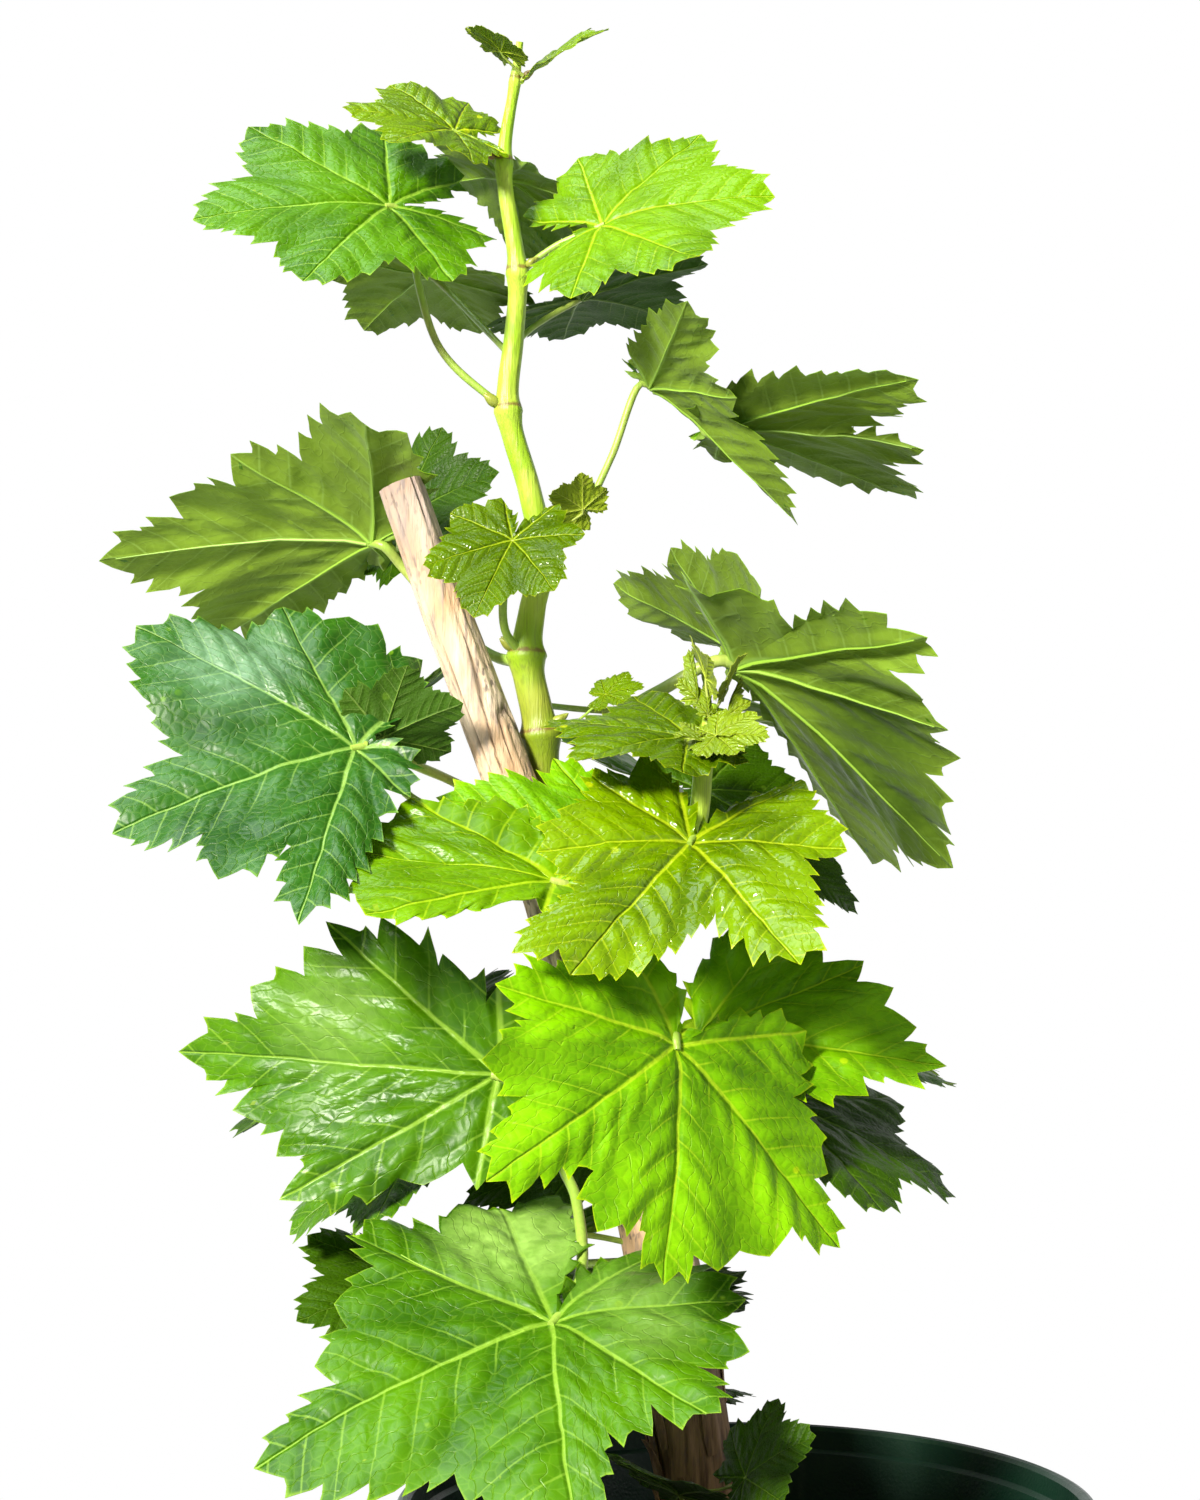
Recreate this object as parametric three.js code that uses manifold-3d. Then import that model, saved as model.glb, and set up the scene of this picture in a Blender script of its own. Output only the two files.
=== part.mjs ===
// A young potted grapevine: an old pruned trunk, green shoots and lobed leaves in a nursery pot.
// Millimetres, +Z up. The origin is the centre of the pot's flat underside, and -Y is the front.
import * as THREE from "three";
import { mergeVertices } from "three/addons/utils/BufferGeometryUtils.js";
import Module from "manifold-3d";

const wasm = await Module();
wasm.setup();

// ---- driving dimensions -------------------------------------------------------------------
const GAP = 0.3; // clearance kept between neighbouring pieces
const POT = {
  height: 200, rim: 120, foot: 88, wall: 2.6, floor: 3.2, // outer radii at the rim and the foot
  band: 26, step: 6.5, // the upright band under the rim, and how far it stands out of the cone
  lip: 4, ledge: 10, bevel: 1.5, // the lip's width, the depth of the ledge inside it, its bevel
};
const INNER = { foot: POT.foot + 2 - POT.wall, top: POT.rim - 7.5 }; // the cone inside, at its ends
const SOIL_TOP = 170;
const SOIL_EDGE = 5; // the soil slumps over this width at the wall
const DRAIN = { count: 6, radius: 6, circle: 55 };
const BLADE_SHARE = 1 / 90; // blade thickness over blade length
const BLADE_LEAST = 0.5;
const STEM_SHARE = 0.022; // petiole radius over blade length
const STEM_LEAST = 0.6;
const SWELLING = 0.018; // half the length of a swollen node, as a share of its shoot
const POT_SIDES = 40;
const TRUNK_SIDES = 12;
const SHOOT_SIDES = 8;
const STEM_SIDES = 5;

// ---- colours ------------------------------------------------------------------------------
const finish = (color, roughness) => new THREE.MeshStandardMaterial({ color, roughness, metalness: 0 });
const LOOK = {
  pot: finish(0x17392b, 0.35),
  soil: finish(0x3a2a1e, 0.95),
  bark: finish(0xb9a285, 0.8),
  shoot: finish(0x9dbb3a, 0.45),
  young: finish(0x9dc21c, 0.35),
  bright: finish(0x7fb61c, 0.4),
  mid: finish(0x4d8f22, 0.4),
  dark: finish(0x2f6a26, 0.4),
};

// ---- solids -------------------------------------------------------------------------------
function solid(geometry) {
  geometry.deleteAttribute("normal");
  geometry.deleteAttribute("uv");
  const merged = mergeVertices(geometry, 1e-4);
  const make = (triangles) => new wasm.Manifold(new wasm.Mesh({
    numProp: 3,
    vertProperties: new Float32Array(merged.attributes.position.array),
    triVerts: triangles,
  }));
  const triangles = new Uint32Array(merged.index.array);
  const body = make(triangles);
  return body.volume() > 0 ? body : make(triangles.reverse());
}

function largest(body) {
  return body.decompose().reduce((a, b) => (a.volume() > b.volume() ? a : b));
}

function mesh(name, body, material) {
  const { vertProperties, triVerts } = body.getMesh();
  const geometry = new THREE.BufferGeometry();
  geometry.setAttribute("position", new THREE.BufferAttribute(new Float32Array(vertProperties), 3));
  geometry.setIndex(new THREE.BufferAttribute(new Uint32Array(triVerts), 1));
  geometry.computeVertexNormals();
  const piece = new THREE.Mesh(geometry, material);
  piece.name = name;
  return piece;
}

// ---- limbs: a lathed rod whose stations are laid along a curve -------------------------------
const vector = ([x, y, z]) => new THREE.Vector3(x, y, z);

function rod(curve, steps, sides, girth) {
  const profile = [new THREE.Vector2(0, 0)];
  for (let i = 0; i <= steps; i++) profile.push(new THREE.Vector2(girth(i / steps), i / steps));
  profile.push(new THREE.Vector2(0, 1));
  const geometry = new THREE.LatheGeometry(profile, sides);
  const frames = curve.computeFrenetFrames(steps, false);
  const centres = curve.getSpacedPoints(steps);
  const place = geometry.attributes.position;
  for (let i = 0; i < place.count; i++) {
    const station = Math.round(place.getY(i) * steps);
    const across = frames.normals[station];
    const side = new THREE.Vector3().crossVectors(across, frames.tangents[station]);
    const point = centres[station].clone()
      .addScaledVector(across, place.getX(i))
      .addScaledVector(side, place.getZ(i));
    place.setXYZ(i, point.x, point.y, point.z);
  }
  return solid(geometry);
}

// Radius along a limb: straight runs between [share of the length, radius], plus node swellings.
function girthOf(stations, swellings = [], swell = 0) {
  return (t) => {
    const next = Math.max(1, stations.findIndex(([at]) => at >= t));
    const [t0, r0] = stations[next - 1];
    const [t1, r1] = stations[next];
    const base = r0 + ((r1 - r0) * (t - t0)) / (t1 - t0);
    const near = swellings.some((at) => Math.abs(at - t) < SWELLING);
    return base + (near ? swell : 0);
  };
}

// A block of everything below a height, which leaves a limb flat at its foot.
const below = (height) =>
  solid(new THREE.BoxGeometry(POT.rim, POT.rim, height).translate(0, 0, height / 2));

class Limb {
  constructor({ route, stations, steps, sides, swellings, swell, foot }) {
    this.curve = new THREE.CatmullRomCurve3(route.map(vector), false, "centripetal");
    this.steps = steps;
    this.sides = sides;
    this.girth = girthOf(stations, swellings, swell);
    const whole = rod(this.curve, steps, sides, this.girth);
    this.body = foot === undefined ? whole : whole.subtract(below(foot));
    this.cutter = rod(this.curve, steps, sides, (t) => this.girth(t) + GAP * 1.15);
  }

  // The point of the limb's centreline at a height.
  at(height) {
    const points = this.curve.getSpacedPoints(200);
    return points.reduce((a, b) => (Math.abs(a.z - height) < Math.abs(b.z - height) ? a : b)).clone();
  }
}

const trunk = new Limb({
  route: [
    [-10, 0, 156], [-18, 0, 215], [-38, 0, 320], [-65, 0, 401],
    [-80, 0, 442], [-103, 0, 503], [-120, 0, 551],
  ],
  stations: [[0, 19], [0.05, 16.5], [0.12, 13.8], [0.38, 12.6], [0.6, 10.6], [0.72, 8.9], [1, 8.2]],
  steps: 14,
  sides: TRUNK_SIDES,
  foot: SOIL_TOP + GAP,
});

const SHOOT = { foot: 404, tip: 704, nodes: [463, 490, 525, 577, 625, 663, 690] }; // heights
const mainShoot = new Limb({
  route: [
    [-66, 8, SHOOT.foot], [-70, 11, 432], [-71, 8, 463], [-76, 6, 490], [-74, 5, 507],
    [-70.5, 4, 525], [-75, 2, 549], [-82.5, 0, 577], [-80.5, -2, 603], [-79, -6, 625],
    [-84, -9, 663], [-80, -14, 690], [-78, -18, SHOOT.tip],
  ],
  stations: [
    [0, 6.2], [0.2, 5.9], [0.29, 5.4], [0.35, 4.6], [0.5, 4.1], [0.66, 3.6], [0.85, 2.7], [1, 1.2],
  ],
  steps: 26,
  sides: SHOOT_SIDES,
  swellings: SHOOT.nodes.map((height) => (height - SHOOT.foot) / (SHOOT.tip - SHOOT.foot)),
  swell: 0.9,
});

const rightShoot = new Limb({
  route: [
    [-54, -2, 366], [-44, -22, 388], [-30, -46, 409], [-19, -58, 428], [-16, -60, 450], [-13.5, -61, 468],
  ],
  stations: [[0, 4.6], [0.5, 3.8], [0.85, 3], [1, 2.2]],
  steps: 12,
  sides: SHOOT_SIDES,
});

// ---- leaves -----------------------------------------------------------------------------------
// A blade is described in its own plane from the junction with its stem: the midrib is at 0 degrees,
// and each lobe is [degrees from the midrib, reach as a share of the blade length].
const CENTRE = 0.12; // where a blade's facets meet, ahead of the junction, as a share of its length
const PLAIN = [[-148, 0.57], [-102, 0.7], [-48, 0.88], [0, 1], [48, 0.88], [102, 0.7], [148, 0.57]];
const SINUS = [174, 0.08];
const SMALL = 60; // a shorter blade has no ring of points between junction and rim
const SHOULDER = { span: 0.45, bulge: 0.1 }; // an edge longer than the span bulges at its middle
const CROWDED = 22; // lobes closer than this many degrees have only a shallow notch between them
const NOTCH = { crowded: 0.93, front: 0.8, back: 0.86 }; // depth, as a share of the shorter lobe
const BACK_LOBES = 200; // two lobes whose angles add up to more than this are back lobes
const SOFT = 0.06; // half the width over which a fold turns, as a share of the length
const turn = THREE.MathUtils.degToRad;

// The blade's corners: its lobes, the notches between them, and a shoulder on each long edge.
function rimOf({ lobes = PLAIN, notches = {} }) {
  const corners = [[-SINUS[0], SINUS[1]]];
  lobes.forEach(([angle, reach], i) => {
    if (i > 0) {
      const [angle0, reach0] = lobes[i - 1];
      const between = (angle * reach0 + angle0 * reach) / (reach + reach0);
      const open = Math.abs(angle + angle0) < BACK_LOBES ? NOTCH.front : NOTCH.back;
      const depth = angle - angle0 < CROWDED ? NOTCH.crowded : open;
      corners.push(notches[i] ?? [between, depth * Math.min(reach, reach0)]);
    }
    corners.push([angle, reach]);
  });
  corners.push(SINUS);
  const rim = [];
  corners.forEach(([angle, reach], i) => {
    rim.push([angle, reach]);
    const after = corners[i + 1];
    if (!after) return;
    const start = flat(angle, reach);
    const end = flat(...after);
    const span = start.distanceTo(end);
    if (span < SHOULDER.span) return;
    const middle = start.lerp(end, 0.5);
    const towards = THREE.MathUtils.radToDeg(Math.atan2(middle.y, middle.x));
    rim.push([towards, middle.length() + SHOULDER.bulge * span]);
  });
  return rim;
}

const flat = (angle, reach) =>
  new THREE.Vector2(reach * Math.cos(turn(angle)), reach * Math.sin(turn(angle)));

// The directions of a blade: along its midrib, to its side, and out of its upper face.
// aim: heading (0 to the front, 90 to the right), lift of the midrib, roll about it, in degrees.
function axesOf([heading, lift, roll]) {
  const [h, e, r] = [turn(heading), turn(lift), turn(roll)];
  const along = new THREE.Vector3(Math.sin(h) * Math.cos(e), -Math.cos(h) * Math.cos(e), Math.sin(e));
  const level = new THREE.Vector3(-Math.sin(e) * Math.sin(h), Math.sin(e) * Math.cos(h), Math.cos(e));
  const up = level.clone().multiplyScalar(Math.cos(r))
    .addScaledVector(new THREE.Vector3().crossVectors(along, level), Math.sin(r));
  return { along, side: new THREE.Vector3().crossVectors(up, along), up };
}

// A point of the flat blade, bent: each half folds up, the sides droop and the midrib curls down.
function bent(u, v, w, length, [curl, foldLeft, foldRight, droop]) {
  const soft = SOFT * length;
  const fold = turn(v > 0 ? foldRight : foldLeft);
  const away = Math.hypot(v, soft) - soft;
  const rise = w + away * Math.sin(fold) - (droop * v * v) / length;
  const rate = turn(curl) / length;
  const half = turn(curl) / 2;
  const x = Math.sin(rate * u) / rate + rise * Math.sin(rate * u);
  const z = (Math.cos(rate * u) - 1) / rate + rise * Math.cos(rate * u);
  return [
    x * Math.cos(half) - z * Math.sin(half), v * Math.cos(fold), x * Math.sin(half) + z * Math.cos(half),
  ];
}

function blade(leaf) {
  const { junction, aim, length, bend } = leaf;
  const rim = rimOf(leaf);
  const half = Math.max(BLADE_LEAST, length * BLADE_SHARE) / 2;
  const profile = length < SMALL
    ? [[0, -half], [1, -half], [1, half], [0, half]]
    : [[0, -half], [0.5, -half], [1, -half], [1, half], [0.5, half], [0, half]];
  const geometry = new THREE.LatheGeometry(profile.map(([r, z]) => new THREE.Vector2(r, z)), rim.length);
  const { along, side, up } = axesOf(aim);
  const place = geometry.attributes.position;
  for (let i = 0; i < place.count; i++) {
    const [angle, reach] = rim[Math.floor(i / profile.length) % rim.length];
    const [share, w] = profile[i % profile.length];
    const centre = new THREE.Vector2(CENTRE, 0);
    const spot = flat(angle, reach).lerp(centre, 1 - share).multiplyScalar(length);
    const [x, y, z] = bent(spot.x, spot.y, w, length, bend);
    const point = vector(junction).addScaledVector(along, x).addScaledVector(side, y).addScaledVector(up, z);
    place.setXYZ(i, point.x, point.y, point.z);
  }
  return solid(geometry);
}

function stem(start, leaf) {
  const radius = leaf.stem ?? Math.max(STEM_LEAST, leaf.length * STEM_SHARE);
  const route = [start, ...(leaf.via ?? []).map(vector), vector(leaf.junction)];
  const curve = new THREE.CatmullRomCurve3(route, false, "centripetal");
  const steps = Math.min(6, Math.max(2, Math.round(curve.getLength() / 18)));
  return rod(curve, steps, STEM_SIDES, () => radius);
}

// A spray is a leaf on its stem, with any small leaves that branch off that stem, as one solid.
function spray({ limb, height, leaves }) {
  const starts = leaves.map((leaf) => (leaf.from ? vector(leaf.from) : limb.at(height)));
  const parts = leaves.flatMap((leaf, i) => [stem(starts[i], leaf), blade(leaf)]);
  const whole = parts.reduce((a, b) => a.add(b));
  return largest(whole.subtract(limb.cutter));
}

const CALM = [18, 6, 6, 0.08];
const leafOf = (junction, aim, length, more = {}) => ({ junction, aim, length, bend: CALM, ...more });

const FRONT = {
  leaf_centre_top: { limb: rightShoot, height: 398, look: "young", leaves: [
    leafOf([-21, -78, 424], [-31, -44, -26], 68, {
      via: [[-24, -64, 404]],
      bend: [12, 8, 12, 0.07],
      lobes: [
        [-134, 0.57], [-109, 0.61], [-55, 0.75], [-25, 1.13], [-11, 1.04], [50, 0.98], [105, 0.74],
        [150, 0.7],
      ],
      notches: { 3: [-32, 0.57], 5: [34, 0.48], 6: [92, 0.54] },
    }),
  ] },
  leaf_centre_low: { limb: trunk, height: 330, look: "bright", leaves: [
    leafOf([-25, -92, 360], [-8, -69, -40], 84, {
      via: [[-36, -45, 338]],
      bend: [16, -2, 1, 0.11],
      lobes: [
        [-166, 0.4], [-150, 0.42], [-98, 0.75], [-75, 0.83], [-49, 0.99], [-24, 0.84], [-2, 0.9],
        [13, 0.84], [30, 0.84], [49, 0.98], [63, 0.79], [108, 0.65], [126, 0.12],
      ],
      notches: { 5: [-37, 0.53], 11: [80, 0.54] },
    }),
  ] },
  leaf_right_low: { limb: trunk, height: 345, look: "mid", leaves: [
    leafOf([-18, -42, 360], [86, -7, 50], 92, {
      via: [[-31, -24, 352]],
      bend: [14, 6, 6, 0.06],
      lobes: [
        [-110, 0.3], [-60, 0.42], [-18, 0.66], [0, 0.9], [11, 0.8], [22, 0.74], [34, 0.69], [46, 0.6],
        [80, 0.5], [93, 0.36], [110, 0.08],
      ],
      notches: { 6: [27, 0.62] },
    }),
  ] },
  leaf_left_low: { limb: trunk, height: 352, look: "mid", leaves: [
    leafOf([-84, -45, 347], [-104, 3, -80], 114, {
      via: [[-64, -28, 352]],
      bend: [14, 12, 10, 0.08],
      lobes: [
        [-135, 0.25], [-88, 0.26], [-62, 0.38], [-49, 0.58], [-37, 0.69], [-29, 0.69], [-15, 0.79],
        [0, 1], [12, 0.8], [25, 0.69], [36, 0.71], [63, 0.38], [87, 0.34], [135, 0.2],
      ],
      notches: { 5: [-33, 0.57], 10: [29, 0.55], 11: [52, 0.41] },
    }),
  ] },
  leaf_front_base: { limb: trunk, height: 325, look: "mid", leaves: [
    leafOf([-65, -88, 276], [-23, -39, 2], 96, {
      via: [[-62, -22, 317], [-58, -38, 306], [-56, -64, 286]],
      bend: [24, 20, -6, 0.06],
      lobes: [
        [-158, 0.73], [-128, 0.7], [-103, 0.8], [-72, 0.71], [-55, 0.78], [-40, 1.06], [24, 0.87],
        [48, 0.66], [64, 0.76], [91, 0.66], [114, 0.63], [138, 0.6], [165, 0.5],
      ],
      notches: { 3: [-87, 0.62], 8: [54, 0.56] },
    }),
  ] },
  leaf_left_mid: { limb: mainShoot, height: 418, look: "dark", leaves: [
    leafOf([-132, -35, 457], [-71, -19, -47], 87, {
      via: [[-93, 18, 441], [-117, -15, 452]],
      bend: [13, 12, 12, 0.08],
      lobes: [
        [-140, 0.57], [-109, 0.67], [-88, 0.73], [-56, 1.04], [2, 1], [36, 0.92], [57, 1.04], [96, 0.42],
        [128, 0.3],
      ],
      notches: { 3: [-72, 0.68], 4: [-17, 0.66], 6: [46, 0.55] },
    }),
    leafOf([-124, -24, 460], [84, 22, -58], 30, { from: [-129, -33, 457], bend: [18, 20, 20, 0.06] }),
  ] },
  leaf_left_bright: { limb: trunk, height: 388, look: "young", leaves: [
    leafOf([-64, -68, 412], [-92, 5, -36], 88, {
      via: [[-58, -36, 398]],
      bend: [14, 8, 8, 0.08],
      lobes: [
        [-120, 0.25], [-73, 0.24], [-56, 0.5], [-44, 0.52], [-28, 0.66], [0, 0.96], [33, 0.76],
        [62, 0.3], [85, 0.27], [150, 0.2],
      ],
      notches: { 5: [-17, 0.68], 6: [16, 0.74], 7: [45, 0.42] },
    }),
  ] },
  leaf_behind_bright: { limb: trunk, height: 380, look: "bright", leaves: [
    leafOf([-38, -30, 420], [-92, 17, -50], 64, {
      via: [[-45, -22, 402]],
      lobes: [[-100, 0.4], [-36, 0.72], [0, 1.11], [28, 0.84], [80, 0.5]],
    }),
  ] },
  leaf_small_front: { limb: mainShoot, height: 490, look: "young", leaves: [
    leafOf([-80, -25, 528], [-33, -53, -19], 37, {
      via: [[-83, -4, 498], [-83, -16, 513]],
      bend: [6, 9, 9, 0.08],
      stem: 1.8,
    }),
  ] },
  leaf_bud_upper: { limb: mainShoot, height: 530, look: "young", leaves: [
    leafOf([-56, -8, 541], [-45, 18, 47], 16, { via: [[-62, -4, 536]] }),
  ] },
  leaf_left_high: { limb: mainShoot, height: 489, look: "mid", leaves: [
    leafOf([-133, 38, 537], [-102, -6, 45], 97, {
      via: [[-87, 14, 491], [-104, 30, 505], [-122, 38, 526]],
      bend: [25, 16, -7, 0.09],
      lobes: [
        [-140, 0.12], [-60, 0.2], [-36, 0.88], [-26, 0.95], [5, 1.1], [23, 0.8], [49, 0.64], [105, 0.71],
        [123, 0.69],
      ],
      notches: { 6: [38, 0.56], 7: [70, 0.44] },
    }),
    leafOf([-125, 55, 547], [67, 21, 66], 44, { from: [-124, 39, 528], bend: [20, 10, 10, 0.06] }),
  ] },
  leaf_right_mid: { limb: mainShoot, height: 463, look: "mid", leaves: [
    leafOf([1, 30, 491], [107, -45, -6], 116, {
      via: [[-50, 20, 468], [-29, 30, 480]],
      bend: [12, 5, 12, 0.05],
      lobes: [
        [-150, 0.42], [-120, 0.45], [-86, 0.84], [-79, 0.92], [-65, 0.77], [-54, 0.8], [-40, 0.78],
        [-17, 0.85], [-7, 0.94], [30, 1.05], [55, 0.22], [120, 0.08],
      ],
      notches: { 2: [-92, 0.38], 4: [-72, 0.68], 6: [-45, 0.62], 7: [-30, 0.68], 9: [10, 0.77] },
    }),
    leafOf([2, 50, 497], [-140, 19, 29], 69, {
      from: [-3, 29, 490],
      bend: [10, 15, 28, 0.02],
      lobes: [[-148, 0.4], [-102, 0.5], [-28, 1.06], [8, 1.06], [56, 0.68], [107, 0.75], [125, 0.76]],
    }),
  ] },
  leaf_right_high: { limb: mainShoot, height: 525, look: "mid", leaves: [
    leafOf([-31, 10, 589], [102, -41, 4], 67, {
      via: [[-57, 6, 540], [-46, 8, 562]],
      bend: [7, 17, 15, 0.01],
      lobes: [[-147, 0.3], [-100, 0.89], [-54, 0.61], [0, 1.09], [58, 0.85], [110, 0.4]],
    }),
    leafOf([-6, 18, 575], [79, -11, -14], 86, {
      from: [-30, 12, 588],
      via: [[-18, 16, 583]],
      bend: [19, 8, 8, 0.07],
      lobes: [[-100, 0.3], [-35, 1.01], [-3, 0.86], [41, 1.05], [100, 0.4]],
      notches: { 2: [7, 0.42] },
    }),
  ] },
  leaf_right_shade: { limb: trunk, height: 318, look: "dark", leaves: [
    leafOf([10, -32, 338], [93, -29, 21], 68, { via: [[-15, -25, 328]], bend: [16, 3, 3, 0.09] }),
  ] },
  leaf_shade_centre: { limb: rightShoot, height: 408, look: "dark", leaves: [
    leafOf([-13, 14, 444], [110, -6, 46], 44, { via: [[-18, -20, 425]] }),
  ] },
  leaf_shade_right: { limb: rightShoot, height: 414, look: "dark", leaves: [
    leafOf([7, -40, 421], [83, -36, 19], 36, { via: [[-8, -42, 417]] }),
  ] },
  leaf_left_under: { limb: trunk, height: 330, look: "mid", leaves: [
    leafOf([-109, -5, 325], [-79, -36, -18], 59, { via: [[-75, -2, 335]] }),
  ] },
  leaf_left_base: { limb: trunk, height: 285, look: "dark", leaves: [
    leafOf([-108, -5, 271], [-54, -6, -29], 53, { via: [[-65, -12, 290]] }),
  ] },
  leaf_shade_low: { limb: trunk, height: 296, look: "dark", leaves: [
    leafOf([-55, 22, 314], [-88, -22, -33], 47, { via: [[-45, 16, 302]] }),
  ] },
  leaf_rim_right: { limb: trunk, height: 200, look: "dark", leaves: [
    leafOf([-5, -75, 224], [57, 32, 51], 30, { via: [[-9, -40, 212]] }),
  ] },
  leaf_rim_front: { limb: trunk, height: 190, look: "dark", leaves: [
    leafOf([-24, -50, 213], [-30, 24, -10], 34, { via: [[-20, -28, 203]] }),
  ] },
  leaf_shoot_young: { limb: rightShoot, height: 452, look: "young", leaves: [
    leafOf([-21, -62, 458], [-107, 4, -22], 49, { bend: [16, 3, 4, 0.09] }),
  ] },
  shoot_apex: { limb: rightShoot, height: 460, look: "young", leaves: [
    leafOf([-13, -76, 457], [70, -4, 40], 18, { via: [[-14, -70, 457]] }),
    leafOf([-15, -63, 476], [-60, 62, -20], 15, { from: [-14, -62, 464] }),
    leafOf([-9, -62, 474], [60, 55, 20], 13, { from: [-14, -62, 464] }),
  ] },
  leaf_bud_right: { limb: mainShoot, height: 463, look: "young", leaves: [
    leafOf([-48, -8, 476], [80, 9, 42], 14, { via: [[-58, -2, 467]] }),
  ] },
};

// The young top of the shoot, and the leaves of the back, which hang away from the front.
const TOP = {
  leaf_top_left: { limb: mainShoot, height: 577, look: "mid", leaves: [
    leafOf([-124, -8, 650], [-75, -10, -50], 70, { via: [[-107, 0, 600]] }),
  ] },
  leaf_top_right: { limb: mainShoot, height: 625, look: "bright", leaves: [
    leafOf([-50, -15, 641], [80, 6, 50], 62, { via: [[-66, -8, 634]] }),
  ] },
  leaf_top_back: { limb: mainShoot, height: 640, look: "mid", leaves: [
    leafOf([-84, 34, 672], [175, -18, 30], 54, { via: [[-83, 14, 660]] }),
  ] },
  leaf_top_young: { limb: mainShoot, height: 663, look: "young", leaves: [
    leafOf([-101, -10, 676], [-80, 5, -40], 40, { via: [[-93, -10, 671]] }),
  ] },
  leaf_tip: { limb: mainShoot, height: 690, look: "young", leaves: [
    leafOf([-68, -20, 697], [70, 20, 30], 24, { via: [[-74, -17, 694]] }),
    leafOf([-84, -26, 698], [-40, 15, -20], 17, { from: [-77, -18, 692] }),
  ] },
};

const BACK = [
  ["mid", mainShoot, 596, [-114, 50, 640], [-150, -8, 15], 60],
  ["dark", mainShoot, 570, [-58, 54, 632], [140, 2, -15], 58, [[-80, 40, 612]]],
  ["mid", mainShoot, 474, [32, 86, 474], [112, -30, 0], 58, [[-50, 40, 474], [-10, 62, 474]]],
  ["dark", trunk, 410, [-142, 62, 468], [-150, -28, -30], 84, [[-98, 32, 432], [-122, 50, 444]]],
  ["mid", mainShoot, 430, [-22, 74, 446], [150, -16, 25], 78],
  ["mid", trunk, 384, [-66, 60, 414], [-172, -6, 10], 80, [[-58, 34, 392]]],
  ["dark", trunk, 372, [-124, 52, 352], [-140, -22, -25], 80],
  ["mid", trunk, 342, [24, 64, 354], [125, -16, 15], 70],
  ["mid", trunk, 335, [-52, 74, 330], [178, -26, 5], 92],
  ["dark", trunk, 300, [6, 38, 316], [100, -12, 10], 56],
  ["mid", trunk, 280, [-84, 54, 272], [-138, -24, -15], 82],
  ["dark", trunk, 255, [-40, 66, 262], [175, -30, 0], 66],
  ["mid", trunk, 225, [-64, 40, 228], [-118, -16, -20], 66],
  ["dark", trunk, 212, [-28, 62, 226], [165, -14, 10], 46],
];

// ---- pot and soil -------------------------------------------------------------------------------
// A profile of [radius, height] turned about the upright axis.
const turned = (profile) => solid(
  new THREE.LatheGeometry(profile.map(([r, z]) => new THREE.Vector2(r, z)), POT_SIDES).rotateX(Math.PI / 2),
);

function potBody() {
  const { height, rim, foot, floor, band, step, lip, ledge, bevel } = POT;
  const shell = turned([
    [0, 0], [foot, 0], [foot + 2, 2],
    [rim - step - 1, height - band], [rim - bevel, height - band], [rim, height - band + 2],
    [rim, height - bevel], [rim - bevel, height], [rim - lip, height], [rim - lip - 1, height - 2],
    [rim - lip - bevel, height - ledge + 1], [INNER.top, height - ledge],
    [INNER.foot, floor], [0, floor],
  ]);
  return Array.from({ length: DRAIN.count }, (_, i) => {
    const angle = (2 * Math.PI * i) / DRAIN.count;
    return solid(new THREE.CylinderGeometry(DRAIN.radius, DRAIN.radius, 4 * floor, 10)
      .rotateX(Math.PI / 2)
      .translate(DRAIN.circle * Math.cos(angle), DRAIN.circle * Math.sin(angle), 0));
  }).reduce((pot, drill) => pot.subtract(drill), shell);
}

function soilBody() {
  const { height, floor, ledge } = POT;
  const slope = (INNER.top - INNER.foot) / (height - ledge - floor);
  const inner = (z) => INNER.foot + slope * (z - floor) - 2 * GAP;
  const shoulder = SOIL_TOP - 4;
  return turned([
    [0, floor + GAP], [inner(floor + GAP), floor + GAP], [inner(shoulder), shoulder],
    [inner(SOIL_TOP) - SOIL_EDGE, SOIL_TOP], [0, SOIL_TOP],
  ]);
}

// ---- the vine -----------------------------------------------------------------------------------
const group = new THREE.Group();
group.add(mesh("pot", potBody(), LOOK.pot));
group.add(mesh("potting_soil", soilBody(), LOOK.soil));
group.add(mesh("trunk", trunk.body, LOOK.bark));
group.add(mesh("main_shoot", largest(mainShoot.body.subtract(trunk.cutter)), LOOK.shoot));
group.add(mesh("right_shoot", largest(rightShoot.body.subtract(trunk.cutter)), LOOK.shoot));
for (const [name, plan] of Object.entries({ ...FRONT, ...TOP })) {
  group.add(mesh(name, spray(plan), LOOK[plan.look]));
}
BACK.forEach(([look, limb, height, junction, aim, length, via = []], i) => {
  const name = `leaf_back_${String(i + 1).padStart(2, "0")}`;
  const plan = { limb, height, leaves: [leafOf(junction, aim, length, { via })] };
  group.add(mesh(name, spray(plan), LOOK[look]));
});

export default group;
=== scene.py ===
"""A young potted grapevine: an old pruned trunk, green shoots and toothed, lobed leaves in a nursery pot.

Lengths in the tables are millimetres, as in the CAD model: +Z up, the front towards -Y.
"""

import math

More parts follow.
